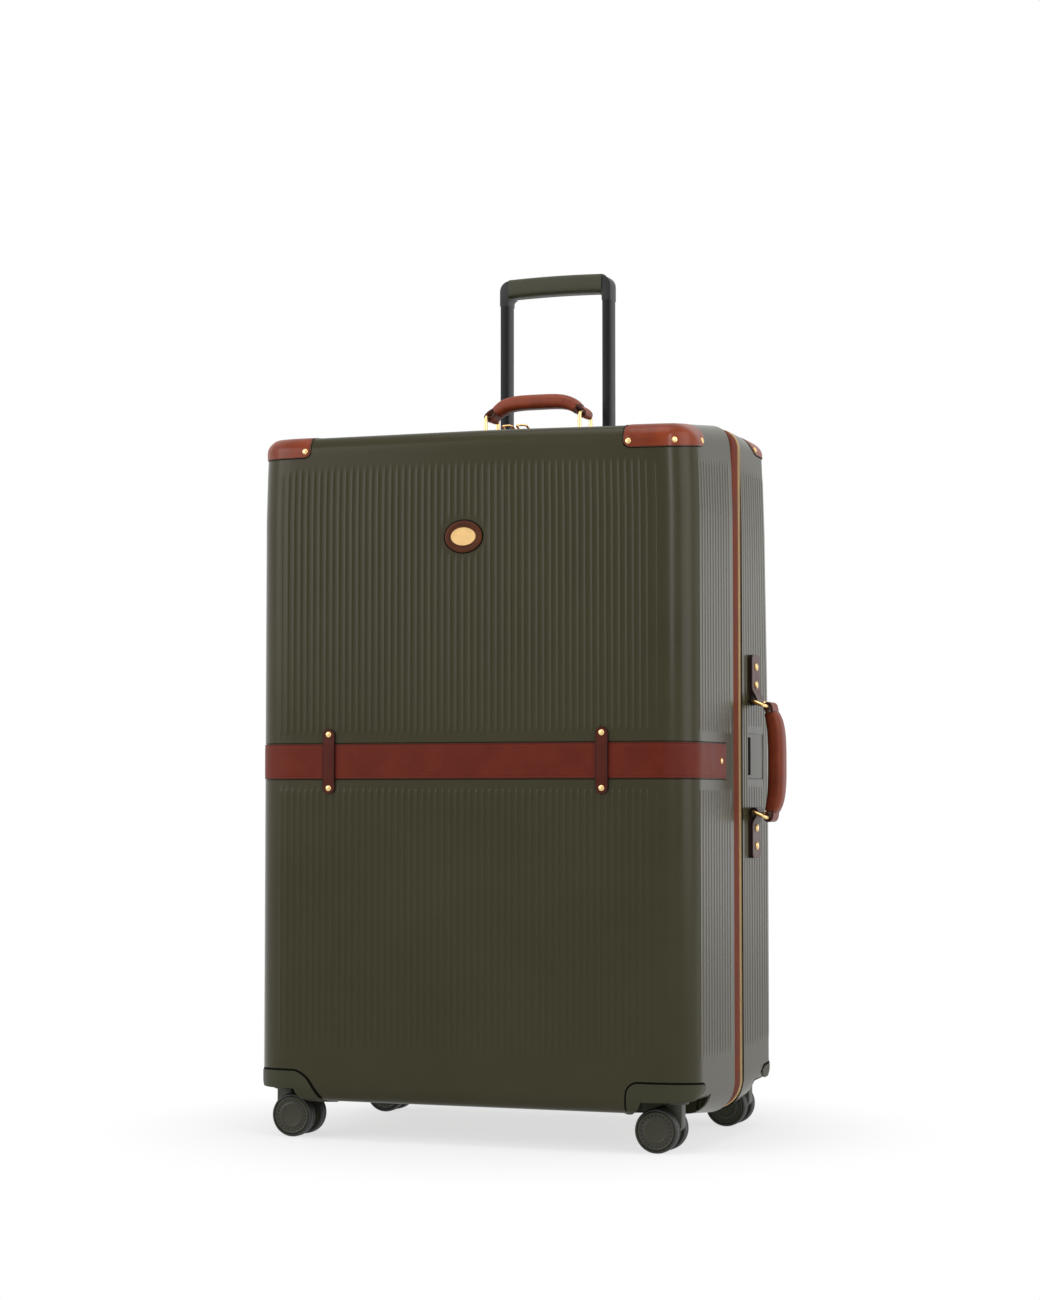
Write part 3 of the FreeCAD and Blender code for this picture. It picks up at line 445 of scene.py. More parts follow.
frontLow, frontHigh = boxOf("front_shell")
rearLow, rearHigh = boxOf("rear_shell")
case = {"halfWidth": rearHigh.x, "front": frontLow.y, "rear": rearHigh.y, "floor": rearLow.z,
        "roof": rearHigh.z, "faceDrop": 16.0, "faceLift": 15.0, "backLift": 13.0, "backDrop": 1.0,
        "backPinch": 0.016, "faceDip": 3.2, "topPinch": 0.01, "pinchReach": 90.0, "draftReach": 110.0,
        "topCorner": 24.0, "bottomCorner": 34.0, "edge": 12.0, "crease": 18.0, "dropFrom": 120.0,
        "dropFull": 230.0}
case["top"] = case["roof"] - case["faceDrop"]           # of the front face, from which the draft starts
case["bottom"] = case["floor"] + case["faceLift"]
frontHalf = {"face": case["front"], "rim": frontHigh.y, "inward": 1, "corner": 50.0, "ribMargin": 15.0}
rearHalf = {"face": case["rear"], "rim": rearLow.y, "inward": -1, "corner": 35.0, "ribMargin": 8.0}
caseMiddle = Vector((0, (case["front"] + case["rear"]) / 2, (case["bottom"] + case["top"]) / 2))


def outlineGap(u, v, halfU, halfV, radius):
    # distance outside a rounded rectangle, and the direction in which it grows
    cornerU = np.abs(u) - halfU + radius
    cornerV = np.abs(v) - halfV + radius
    outU, outV = np.maximum(cornerU, 0), np.maximum(cornerV, 0)
    length = np.hypot(outU, outV)
    gap = length + np.minimum(np.maximum(cornerU, cornerV), 0) - radius
    atCorner = length > 1e-9
    safe = np.where(atCorner, length, 1)
    slopeU = np.where(atCorner, outU / safe, cornerU >= cornerV) * np.where(u < 0, -1, 1)
    slopeV = np.where(atCorner, outV / safe, cornerU < cornerV) * np.where(v < 0, -1, 1)
    return gap, slopeU, slopeV


def easedMax(gapA, slopeA, gapB, slopeB):
    reach = case["crease"] * (1 - np.sum(slopeA * slopeB, axis=1)) + 1e-9
    near = np.maximum(reach - np.abs(gapA - gapB), 0) / reach
    share = np.clip(0.5 + (gapA - gapB) / (2 * reach), 0, 1)[:, None]
    slope = slopeA * share + slopeB * (1 - share)
    return np.maximum(gapA, gapB) + near ** 2 * reach / 4, slope / np.linalg.norm(slope, axis=1)[:, None]


def toBack(y):
    return np.clip((y - rearHalf["rim"]) / (case["rear"] - rearHalf["rim"]), 0, 1)


def pinch(y, z):
    # share by which the case narrows towards its top, most at the rear
    nearTop = smoothStep(z, case["top"] - case["pinchReach"], case["top"])
    rearShare = toBack(y) * smoothStep(z, caseMiddle.z, case["top"])
    return 1 - case["topPinch"] * nearTop - case["backPinch"] * rearShare


def draft(x, y, z):
    # how far the skin is drawn up or down at a depth, for a height as it is on the front face
    toRim = np.clip((y - case["front"]) / (frontHalf["rim"] - case["front"]), 0, 1)
    outwards = smoothStep(np.abs(x), case["dropFrom"], case["dropFull"])
    rise = case["faceDrop"] * toRim - case["backDrop"] * toBack(y) * outwards
    # the front edge bows down to the right
    rise = rise - case["faceDip"] * (1 - toRim) * smoothStep(x, 0, case["halfWidth"])
    dip = case["faceLift"] * toRim - case["backLift"] * toBack(y)
    atTop = smoothStep(z, case["top"] - case["draftReach"], case["top"])
    atBottom = 1 - smoothStep(z, case["bottom"], case["bottom"] + case["draftReach"])
    return rise * atTop - dip * atBottom


def drafted(points):
    x, y, z = points.T
    return np.stack([x * pinch(y, z), y, z + draft(x, y, z)], axis=1)


def skinGap(points):
    level = points[:, 2]
    for step in range(6):
        level = points[:, 2] - draft(points[:, 0], points[:, 1], level)
    x = points[:, 0] / pinch(points[:, 1], level)
    y, z = points[:, 1] - caseMiddle.y, level - caseMiddle.z
    halfDepth, halfHeight = (case["rear"] - case["front"]) / 2, (case["top"] - case["bottom"]) / 2
    none = np.zeros(len(x))
    gap, slopeX, slopeZ = outlineGap(x, z, case["halfWidth"], halfHeight,
                                     np.where(z > 0, case["topCorner"], case["bottomCorner"]))
    seenFront = (gap, np.stack([slopeX, none, slopeZ], axis=1))
    gap, slopeX, slopeY = outlineGap(x, y, case["halfWidth"], halfDepth,
                                     np.where(y < 0, frontHalf["corner"], rearHalf["corner"]))
    seenAbove = (gap, np.stack([slopeX, slopeY, none], axis=1))
    gap, slopeY, slopeZ = outlineGap(y, z, halfDepth, halfHeight, case["edge"])
    seenSide = (gap, np.stack([none, slopeY, slopeZ], axis=1))
    return easedMax(*easedMax(*seenFront, *seenAbove), *seenSide)


def toSkin(points, out):
    # move points to a distance outside the skin
    for step in range(5):
        gap, slope = skinGap(points)
        points = points + (out - gap)[:, None] * slope
    return points, slope


def seatOn(x, y, z, out):
    # matrix of something small that sits on the skin near a point, at a height as on the front face
    points, slope = toSkin(drafted(np.array([[x, y, z]], float)), np.array([out]))
    return facing(points[0], slope[0])


def halfRun(half):
    # length of the plan outline from the middle of the face to the rim
    return case["halfWidth"] - half["corner"] * (2 - math.pi / 2) + abs(half["rim"] - half["face"])


def sideRun(half, depth):
    # the same length to a place on the side wall, at a depth behind the face
    return case["halfWidth"] - half["corner"] * (2 - math.pi / 2) + depth


def skinPoint(half, run, z, fill=0.0, goal=None):
    # place on the outline at a run from the middle of the face; fill leads over the top or bottom to a goal
    flat = case["halfWidth"] - half["corner"]
    turn = np.clip((np.abs(run) - flat) / half["corner"], 0, math.pi / 2)
    x = np.minimum(np.abs(run), flat) + half["corner"] * np.sin(turn)
    beyond = np.maximum(np.abs(run) - flat - half["corner"] * math.pi / 2, 0)
    depth = half["corner"] * (1 - np.cos(turn)) + beyond
    up = np.clip(z - case["top"] + case["topCorner"], 0, case["topCorner"])
    down = np.clip(case["bottom"] + case["bottomCorner"] - z, 0, case["bottomCorner"])
    levelHalf = (case["halfWidth"] - case["topCorner"] + np.sqrt(case["topCorner"] ** 2 - up ** 2)
                 - case["bottomCorner"] + np.sqrt(case["bottomCorner"] ** 2 - down ** 2))
    beyondMiddle = np.abs(z - caseMiddle.z) - (case["top"] - case["bottom"]) / 2
    rise = np.clip(beyondMiddle + case["edge"], 0, case["edge"])
    depth = np.maximum(depth, case["edge"] - np.sqrt(case["edge"] ** 2 - rise ** 2))
    x = np.minimum(x, levelHalf) * np.sign(run)
    y = half["face"] + half["inward"] * depth
    if goal is None:
        goal = (run / halfRun(half) * levelHalf, half["rim"])
    return drafted(np.stack([x + fill * (goal[0] - x), y + fill * (goal[1] - y), z], axis=1))


# Half shells with their fine ribs

ribs = {"pitch": 8.05, "sidePitch": 10.5, "width": 4.4, "height": 0.62, "sideHeight": 0.38, "steps": 7,
        "onFace": 28, "onSide": 12, "low": 100.0, "high": 765.0, "fade": 12.0, "wall": 2.4}
beltLow, beltHigh = boxOf("belt")
belt = {"low": beltLow.z, "high": beltHigh.z, "reach": beltHigh.y - case["front"], "recess": 1.2,
        "groove": 1.0, "proud": 0.6, "margin": 10.0, "soft": 0.6, "thickness": 1.7, "rivetInset": 20.0,
        "endGap": 0.4, "line": (0.25, 2.2, 2.9)}
# the slot values size a near-black block at the pocket's front edge, which is painted shade
pocket = {"start": 60.0, "end": 125.0, "low": 409.0, "high": 462.0, "deep": 2.2, "shallow": 0.7,
          "margin": 7.0, "soft": 0.6, "slot": 12.0, "shadeDepth": 2.4, "shadeSunk": 1.7, "shadeShort": 9.0,
          "shadeFrom": 1.0}
padLow, padHigh = boxOf("badge_pad")
badge = {"z": (padLow.z + padHigh.z) / 2, "halfWidth": padHigh.x, "halfHeight": (padHigh.z - padLow.z) / 2,
         "margin": 6.0, "plate": (15.0, 10.25)}


def ribCentres(half):
    onFace = np.arange(-ribs["onFace"], ribs["onFace"] + 1) * ribs["pitch"]
    onSide = halfRun(half) - half["ribMargin"] - np.arange(ribs["onSide"]) * ribs["sidePitch"]
    return np.concatenate([-onSide, onFace, onSide])


def shellColumns(half, marks):
    centres = ribCentres(half)
    runs = (centres[:, None] + np.linspace(-0.5, 0.5, ribs["steps"]) * ribs["width"]).ravel()
    corner = np.linspace(ribs["onFace"] * ribs["pitch"], centres[-ribs["onSide"]:].min(), 12)[1:-1]
    rim = halfRun(half) - np.array([0.0, 0.4, 1.5, 5.0])
    plain = np.concatenate([corner, rim, marks])
    return np.unique(np.round(np.concatenate([runs, plain, -plain]), 3))


def shellRows(marks):
    rise = np.array([0.15, 0.7, 1.8, 3.5, 6, 9, 13, 18, 24, 31, 39, 48])
    drop = np.array([0.1, 0.5, 1.2, 2.3, 4, 6.5, 10, 14, 18, 23, 29])
    ends = np.linspace(0, ribs["fade"], 5)
    walls = np.concatenate([case["bottom"] + rise, ribs["low"] + ends, ribs["high"] - ends,
                            case["top"] - drop, np.linspace(160, 700, 8), marks])
    walls = np.unique(np.round(walls, 3))
    over = np.array([0.0, 0.35, 0.7, 1.0])
    heights = np.concatenate([np.full(4, case["bottom"]), walls, np.full(4, case["top"])])
    return heights, np.concatenate([over[::-1], np.zeros(len(walls)), over])


def shellRelief(half, run, z):
    near = np.min(np.abs(run[:, None] - ribCentres(half)[None, :]), axis=1)
    ridge = 0.5 + 0.5 * np.cos(np.minimum(near / ribs["width"] * 2, 1) * math.pi)       # soft round rib
    length = window(z, ribs["low"] + ribs["fade"], ribs["high"] - ribs["fade"], ribs["fade"])
    if half is frontHalf:
        low, high = belt["low"] - belt["groove"], belt["high"] + belt["groove"]
        length = length * (1 - window(z, low - belt["margin"], high + belt["margin"], 3.0))
        ovalWidth, ovalHeight = badge["halfWidth"] + badge["margin"], badge["halfHeight"] + badge["margin"]
        oval = np.hypot(run / ovalWidth, (z - badge["z"]) / ovalHeight)
        length = length * smoothStep(oval, 1.0, 1.12)
        end = sideRun(half, belt["reach"]) + belt["groove"]
        hollow = belt["recess"] * window(z, low + belt["soft"], high - belt["soft"], belt["soft"])
        hollow = hollow * (np.abs(run) < end)
    else:
        first, last = (sideRun(half, case["rear"] - pocket[key]) for key in ("end", "start"))
        soft = pocket["soft"]
        inside = window(run, first + soft, last - soft / 2, soft)
        inside = inside * window(z, pocket["low"] + soft, pocket["high"] - soft, soft)
        slope = np.clip((run - first) / (last - first), 0, 1)
        hollow = inside * (pocket["shallow"] + (pocket["deep"] - pocket["shallow"]) * slope)
        margin = pocket["margin"]
        length = length * (1 - window(run, first - 2, last + 2, 1.0)
                           * window(z, pocket["low"] - margin, pocket["high"] + margin, 3.0))
    tall = np.where(np.abs(run) > (ribs["onFace"] + 1) * ribs["pitch"], ribs["sideHeight"], ribs["height"])
    return tall * ridge * length - hollow


def halfShell(name, half, columnMarks, rowMarks):
    runs = shellColumns(half, columnMarks)
    heights, fills = shellRows(rowMarks)

    def placing(column, row):
        run, z, fill = runs[column], heights[row], fills[row]
        points = skinPoint(half, run, z, fill)
        return toSkin(points, shellRelief(half, run, z) * (fill == 0))[0], None

    obj = gridSheet(name, len(runs), len(heights), placing, half is rearHalf)
    # the shell's cut rim takes the near-black gap finish: painted shade that darkens the slit at the zip band
    thicken(obj, ribs["wall"], 0.0, -1.0, (shellPlastic, gapShadow))
    return obj


def cutAway(obj, cutters):
    # take cutter solids out of a piece
    cutter = joined("cutter", cutters)
    modify(obj, "BOOLEAN", operation="DIFFERENCE", object=cutter, solver="EXACT")
    bpy.data.objects.remove(cutter)


casters = {"x": 235.0, "y": 134.0, "trail": 16.5, "cup": (53.2, 60.0), "well": (50.2, 57.0),
           "radius": 24.5, "spacing": 31.0}
halves = ((frontHalf, "front", "front_case"), (rearHalf, "rear", "rear_case"))


def pocketCutters(side, size):
    radius, height = size
    made = []
    for x in (-casters["x"], casters["x"]):
        release()
        bpy.ops.mesh.primitive_cylinder_add(vertices=96, radius=radius * mm, depth=height * mm)
        made.append(place(bpy.context.object, shift(x, side * casters["y"], height / 2)))
    return made


tubeLow, tubeHigh = boxOf("trolley_tubes")
trolley = {"tubeX": tubeHigh.x - 5.5, "y": (tubeLow.y + tubeHigh.y) / 2, "hole": (12.6, 23.6, 40.0),
           "corner": 2.6, "intoSocket": 3.0}


def tubeCutters():
    made = []
    for x in (-trolley["tubeX"], trolley["tubeX"]):
        release()
        bpy.ops.mesh.primitive_cube_add(size=1)
        size = Matrix.Diagonal((*(Vector(trolley["hole"]) * mm), 1))
        made.append(place(bpy.context.object, shift(x, trolley["y"], case["roof"]) @ size))
    return made


beltRows = np.concatenate([belt["low"] - belt["groove"] - np.array([0.2, -0.3, -0.6, -1.2]),
                           belt["high"] + belt["groove"] + np.array([0.2, -0.3, -0.6, -1.2]),
                           belt["low"] - belt["groove"] - belt["margin"] - np.array([0, 1, 2, 3]),
                           belt["high"] + belt["groove"] + belt["margin"] + np.array([0, 1, 2, 3])])
badgeRows = badge["z"] + np.linspace(-28, 28, 15)
beltEnd = sideRun(frontHalf, belt["reach"]) + belt["groove"]
frontShell = halfShell("frontShell", frontHalf, np.array([beltEnd - 0.05, beltEnd + 0.05]),
                       np.concatenate([beltRows, badgeRows]))
cutAway(frontShell, pocketCutters(-1, casters["cup"]))
smooth(frontShell, 34.0)
finishPiece(frontShell, "frontShell", shellPlastic, "shell", "front_case", "front_shell")

pocketRuns = np.concatenate([sideRun(rearHalf, case["rear"] - pocket[key]) + np.array([-0.6, 0.0, 0.6])
                             for key in ("start", "end")])
pocketRows = np.concatenate([pocket[key] + np.array([-0.3, 0.3, 0.8]) for key in ("low", "high")]
                            + [pocket["low"] - pocket["margin"] - np.array([0, 1.5, 3]),
                               pocket["high"] + pocket["margin"] + np.array([0, 1.5, 3])])
rearShell = halfShell("rearShell", rearHalf, pocketRuns, pocketRows)
cutAway(rearShell, pocketCutters(1, casters["cup"]) + tubeCutters())
smooth(rearShell, 34.0)
finishPiece(rearShell, "rearShell", shellPlastic, "shell", "rear_case", "rear_shell")
# near-black block sunk at the pocket's front edge: painted shade for the dark line there
release()
bpy.ops.mesh.primitive_cube_add(size=1)
shadeTall = pocket["high"] - pocket["low"] - pocket["shadeShort"]
shadeMiddle = pocket["start"] + pocket["shadeFrom"] + pocket["slot"] / 2
shadeSize = Matrix.Diagonal((pocket["shadeDepth"] * mm, pocket["slot"] * mm, shadeTall * mm, 1))
shadeSpot = shift(case["halfWidth"] - pocket["shadeSunk"], shadeMiddle, (pocket["low"] + pocket["high"]) / 2)
pocketShadeBlock = place(bpy.context.object, shadeSpot @ shadeSize)
soften(pocketShadeBlock, 0.3, 2)
finishPiece(pocketShadeBlock, "pocketEdgeShade", gapShadow, "black_plastic", "rear_case")
print("half shells made:", len(frontShell.data.polygons), len(rearShell.data.polygons), "faces")


# Cloth linings, drawn in from the skin

lining = {"inset": 3.4, "thickness": 0.8, "columns": 121, "wallRows": 60, "clear": 0.4}


def halfLining(name, half):
    runs = np.linspace(-halfRun(half), halfRun(half), lining["columns"])
    rise = np.sin(np.linspace(-math.pi / 2, math.pi / 2, lining["wallRows"]))
    walls = caseMiddle.z + rise * (case["top"] - case["bottom"]) / 2
    over = np.array([0.2, 0.5, 0.8, 1.0])
    heights = np.concatenate([np.full(4, case["bottom"]), walls, np.full(4, case["top"])])
    fills = np.concatenate([over[::-1], np.zeros(len(walls)), over])

    def placing(column, row):
        points = skinPoint(half, runs[column], heights[row], fills[row])
        return toSkin(points, np.full(len(points), -lining["inset"]))[0], None

    obj = gridSheet(name, len(runs), len(heights), placing, half is rearHalf)
    thicken(obj, lining["thickness"])
    cutAway(obj, pocketCutters(-half["inward"], [size + lining["clear"] for size in casters["cup"]]))
    return obj


for half, name, body in halves:
    cloth = halfLining(name + "Lining", half)
    finishPiece(cloth, name + "Lining", liningCloth, "lining", body, name + "_lining")
strapLow, strapHigh = boxOf("packing_straps")
tunnel = {"half": 78.5, "front": strapHigh.y, "back": 171.0, "low": strapLow.z - 0.4,
          "high": strapHigh.z + 0.4, "slope": case["backLift"] / (case["rear"] - rearHalf["rim"])}
cover = slab("liningTunnel", [(-tunnel["half"], tunnel["low"]), (tunnel["half"], tunnel["low"]),
                              (tunnel["half"], tunnel["high"]), (-tunnel["half"], tunnel["high"])],
             tunnel["front"], tunnel["back"], 6.0, 5)
for vertex in cover.data.vertices:        # its foot follows the sloping floor
    if vertex.co.z < (tunnel["low"] + 10) * mm:
        vertex.co.z += (vertex.co.y - tunnel["front"] * mm) * tunnel["slope"]
finishPiece(cover, "liningTunnel", liningCloth, "lining", "rear_case")

cupCover = {"radius": 56.0, "foot": 30.0, "top": 79.0, "round": 9.0, "endInWall": -2.2, "steps": 168}


def cupCovers(name, half):
    # cloth over the two wheel cups of a tray, ending inside the wall
    radius, top, rounding = cupCover["radius"], cupCover["top"], cupCover["round"]
    profile = [(radius, z) for z in np.linspace(cupCover["foot"], top - rounding, 20)[:-1]]
    profile += arcPoints((radius - rounding, top - rounding), rounding, 0, 90, 8)
    profile += [(r, top) for r in np.linspace(radius - rounding, 0, 25)[1:]]
    covers = []
    for x in (-casters["x"], casters["x"]):
        cover = turned("cupCover", profile, cupCover["steps"])
        place(cover, shift(x, -half["inward"] * casters["y"], 0))
        centres = np.array([face.center for face in cover.data.polygons]) / mm
        outside = iter(skinGap(centres)[0] > cupCover["endInWall"])
        shape(cover, bpy.ops.mesh.delete, faces=lambda c, n: next(outside), type="FACE")
        thicken(cover, lining["thickness"])
        covers.append(cover)
    return joined(name, covers)


for half, name, body in halves:
    finishPiece(cupCovers(name + "CupCovers", half), name + "CupCovers", liningCloth, "lining", body)
print("linings made")


# Rim: leather band, zip and hinge tape

rim = {"topCorner": 25.5, "bottomCorner": 36.0}


def rimLoop(run, out):
    # place and outward direction on the rim's outline; run 0 is the middle of the bottom, to the right
    width, low, high = case["halfWidth"], case["floor"], case["roof"]
    bottomR, topR = rim["bottomCorner"], rim["topCorner"]
    upright = high - low - bottomR - topR
    legs = [("line", (0, low), (1, 0), width - bottomR),
            ("arc", (width - bottomR, low + bottomR), bottomR, -90),
            ("line", (width, low + bottomR), (0, 1), upright),
            ("arc", (width - topR, high - topR), topR, 0),
            ("line", (width - topR, high), (-1, 0), 2 * (width - topR)),
            ("arc", (topR - width, high - topR), topR, 90),
            ("line", (-width, high - topR), (0, -1), upright),
            ("arc", (bottomR - width, low + bottomR), bottomR, 180),
            ("line", (bottomR - width, low), (1, 0), width - bottomR)]
    for leg in legs:
        length = leg[3] if leg[0] == "line" else leg[2] * math.pi / 2
        if run <= length + 1e-6:
            break
        run -= length
    if leg[0] == "line":
        normal = Vector((leg[2][1], -leg[2][0]))
        spot = Vector(leg[1]) + Vector(leg[2]) * run
    else:
        angle = math.radians(leg[3]) + run / leg[2]
        normal = Vector((math.cos(angle), math.sin(angle)))
        spot = Vector(leg[1]) + normal * leg[2]
    return spot + normal * out, normal


def rimLength():
    width, height = 2 * case["halfWidth"], case["roof"] - case["floor"]
    return 2 * (width + height) - (4 - math.pi) * (rim["bottomCorner"] + rim["topCorner"])


def rimSweep(name, profile, runs, closed):
    # strip along the rim with a closed (y, out) section
    section = profile + profile[:1]
    spots = [rimLoop(run, 0.0) for run in runs]

    def placing(column, row):
        points = []
        for c, r in zip(column, row):
            spot, normal = spots[c % len(spots)]
            y, out = section[r]
            points.append((spot.x + normal.x * out, y, spot.y + normal.y * out))
        return np.array(points), None

    obj = gridSheet(name, len(spots) + (1 if closed else 0), len(section), placing)
    shape(obj, bpy.ops.mesh.normals_make_consistent, inside=False)
    smooth(obj, 50.0)
    return obj


hingeLow, hingeHigh = boxOf("hinge_tape")
bandLow, bandHigh = boxOf("zip_band")
chain = {"start": bandHigh.y, "end": rearHalf["rim"] - 2.0, "pitch": 2.6, "tooth": 1.12, "height": 1.9,
         "out": -0.7, "overlap": 0.7, "bevel": 0.35, "tapeOut": -2.4, "tapeThickness": 1.0, "parting": 0.1,
         "steps": 360}
band = {"from": bandLow.y - 0.4, "to": bandHigh.y - 0.2, "out": -1.3, "depth": 2.8, "round": 0.7,
        "crown": 0.35, "crownHalf": 6.0, "ease": (0.3, 0.2), "steps": 420}
fullRuns = list(np.linspace(0, rimLength(), band["steps"], endpoint=False))
bandMiddle = (band["from"] + band["to"]) / 2
bandSection = []
for end, inward in ((band["from"], 1), (band["to"], -1)):
    flank = [(end, band["out"] - band["depth"]), (end, band["out"] - band["round"]),
             (end + inward * band["ease"][0], band["out"] - band["ease"][1]),
             (end + inward * band["round"], band["out"]),
             (bandMiddle - inward * band["crownHalf"], band["out"] + band["crown"])]
    bandSection += flank[::inward]
rimBand = rimSweep("rimBand", bandSection, fullRuns, True)
finishPiece(rimBand, "rimBand", bandLeather, "cognac_leather", "front_case", "zip_band")


def onHinge(run):
    spot = rimLoop(run, 0)[0]
    return spot.x < -case["halfWidth"] + 0.01 and hingeLow.z <= spot.y <= hingeHigh.z


leftRuns = [rimLength() / 2 + i * 0.5 for i in range(int(rimLength()))]
hingeRun = [run for run in leftRuns if onHinge(run)]
zipStart, zipEnd = hingeRun[-1] - rimLength(), hingeRun[0]
zipRuns = [zipStart + (zipEnd - zipStart) * i / chain["steps"] for i in range(chain["steps"] + 1)]
zipRuns = [run % rimLength() for run in zipRuns]


def toothModel():
    release()
    bpy.ops.mesh.primitive_cube_add(size=1)
    tooth = bpy.context.object
    half = (chain["end"] - chain["start"]) / 2 + chain["overlap"] / 2
    place(tooth, Matrix.Diagonal((chain["tooth"] * mm, half * mm, chain["height"] * mm, 1)))
    shape(tooth, bpy.ops.mesh.bevel, edges=lambda a, b: a.z > 0 and b.z > 0, offset=chain["bevel"] * mm,
          segments=1)
    return tooth, half


def teeth(name, side, offset):
    tooth, length = toothModel()
    middle = chain["start"] + length / 2 if side < 0 else chain["end"] - length / 2
    count = int((zipEnd - zipStart) / chain["pitch"])
    places = []
    for i in range(count):
        run = (zipStart + (i + offset) * chain["pitch"]) % rimLength()
        spot, normal = rimLoop(run, chain["out"] - chain["height"] / 2)
        along = Vector((-normal.y, 0, normal.x))
        turn = Matrix((along, (0, 1, 0), (normal.x, 0, normal.y))).transposed().to_4x4()
        places.append(shift(spot.x, middle, spot.y) @ turn)
    made = stamped(name, tooth, places)
    shape(made, bpy.ops.mesh.normals_make_consistent, inside=False)
    return made


def tapeSection(y0, y1, out, depth):
    return [(y0, out - depth), (y0, out), (y1, out), (y1, out - depth)]


zipMiddle = (chain["start"] + chain["end"]) / 2
for name, side, offset, body, y0, y1 in (
        ("front", -1, 0.25, "front_case", chain["start"], zipMiddle - chain["parting"]),
        ("rear", 1, 0.75, "rear_case", zipMiddle + chain["parting"], rearHalf["rim"])):
    row = teeth("zipTeeth_" + name, side, offset)
    finishPiece(row, "zipTeeth_" + name, zipBrass, "zip", body, "zip_half_" + name)
    tape = rimSweep("zipTape_" + name, tapeSection(y0, y1, chain["tapeOut"], chain["tapeThickness"]),
                    zipRuns, False)
    finishPiece(tape, "zipTape_" + name, zipTape, "tape", body)

hinge = {"out": -1.6, "thickness": 1.2, "from": bandHigh.y - 2.0, "to": rearHalf["rim"] + 1.0,
         "across": 17, "rows": 41}


def hingePlacing(column, row):
    y = hinge["from"] + (hinge["to"] - hinge["from"]) * column / (hinge["across"] - 1)
    z = hingeLow.z + (hingeHigh.z - hingeLow.z) * row / (hinge["rows"] - 1)
    return np.stack([np.full(len(y), -case["halfWidth"] - hinge["out"]), y, z], axis=1), None


hingeTape = gridSheet("hingeTape", hinge["across"], hinge["rows"], hingePlacing, True)
thicken(hingeTape, hinge["thickness"])
hingeTape.data.materials.append(zipTape)
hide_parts("hinge_tape")
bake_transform(hingeTape)
print("rim made")


# Leather belt, keepers, corner caps and rivets

def edgeValue(distance, width=2.2):
    return np.clip(1 - distance / width, 0, 1) ** 1.5


def creasedLine(border, depth, start, end):
    # shallow line pressed in beside a leather edge
    return depth * window(border, start, end, 0.5)


def beltPlacing(column, row):
    run = -beltRun + 2 * beltRun * column / (beltColumns - 1)
    share = row / (beltRowCount - 1)
    z = belt["low"] + (belt["high"] - belt["low"]) * share
    border = np.minimum(np.minimum(z - belt["low"], belt["high"] - z), beltRun - np.abs(run))
    points = skinPoint(frontHalf, run, z)
    return toSkin(points, belt["proud"] - creasedLine(border, *belt["line"]))[0], edgeValue(border)


beltRun = sideRun(frontHalf, belt["reach"]) - belt["endGap"]
beltColumns, beltRowCount = 241, 81
beltStrap = gridSheet("beltStrap", beltColumns, beltRowCount, beltPlacing)
thicken(beltStrap, belt["thickness"], 0.35)
finishPiece(beltStrap, "beltStrap", beltLeather, "belt_leather", "front_case", "belt")

keeper = {"x": 164.0, "width": 14.5, "length": 74.0, "proud": 2.4, "bulge": 0.7, "thickness": 2.2,
          "rivets": 30.5, "z": (belt["low"] + belt["high"]) / 2, "bulgeHalf": 18.0, "bulgeFade": 9.0,
          "line": (0.2, 1.5, 2.0)}


def keeperSheet(side):
    columns, rows = 15, 75

    def placing(column, row):
        across = column / (columns - 1) * 2 - 1
        along = -math.pi / 2 + math.pi * row / (rows - 1)
        half, end = keeper["width"] / 2, keeper["length"] / 2
        rise = np.clip(np.sin(along) * 1.0002, -1, 1) * end
        spread = np.sqrt(np.maximum(half ** 2 - np.maximum(np.abs(rise) - end + half, 0) ** 2, 0))
        x = side * keeper["x"] + across * spread
        z = keeper["z"] + rise
        border = np.minimum(spread * (1 - np.abs(across)), end - np.abs(rise))
        over = keeper["bulge"] * window(rise, -keeper["bulgeHalf"], keeper["bulgeHalf"], keeper["bulgeFade"])
        line = creasedLine(border, *keeper["line"])
        points = np.stack([x, np.full(len(x), case["front"]), z], axis=1)
        return toSkin(points, keeper["proud"] + over - line)[0], edgeValue(border, 1.5)

    sheet = gridSheet("keeper", columns, rows, placing)
    thicken(sheet, keeper["thickness"], 0.4)
    return sheet


beltKeepers = mirrored("beltKeepers", keeperSheet)
finishPiece(beltKeepers, "beltKeepers", keeperLeather, "belt_leather", "front_case", "belt_keepers")

# the gap values size the dark sheet round each cap, which is painted shade
cap = {"leg": 72.0, "sideLeg": 75.0, "height": 25.5, "leftHeight": 23.0, "rearHeight": 20.0, "proud": 1.2,
       "topProud": 0.3, "thickness": 1.4, "corner": 8.0, "endCorner": 20.0, "sweep": 45.0, "sweepTurn": 72.0,
       "rivetTurns": (80.0, 41.0), "rivetRise": 7.0, "rivetInset": 6.0, "endInset": 15.0, "puff": 0.3,
       "puffReach": 9.0, "line": (0.7, 1.9, 2.5), "topReach": 30.0, "topBorder": 18.0, "settle": 14.0,
       "endDrop": 1.0, "gap": 1.0, "shadeProud": 0.2, "shadeThickness": 0.5, "columns": 64, "wallRows": 26,
       "topRows": 9}


def capHeight(half, side):
    if half is rearHalf:
        return cap["rearHeight"]
    return cap["height"] if side > 0 else cap["leftHeight"]


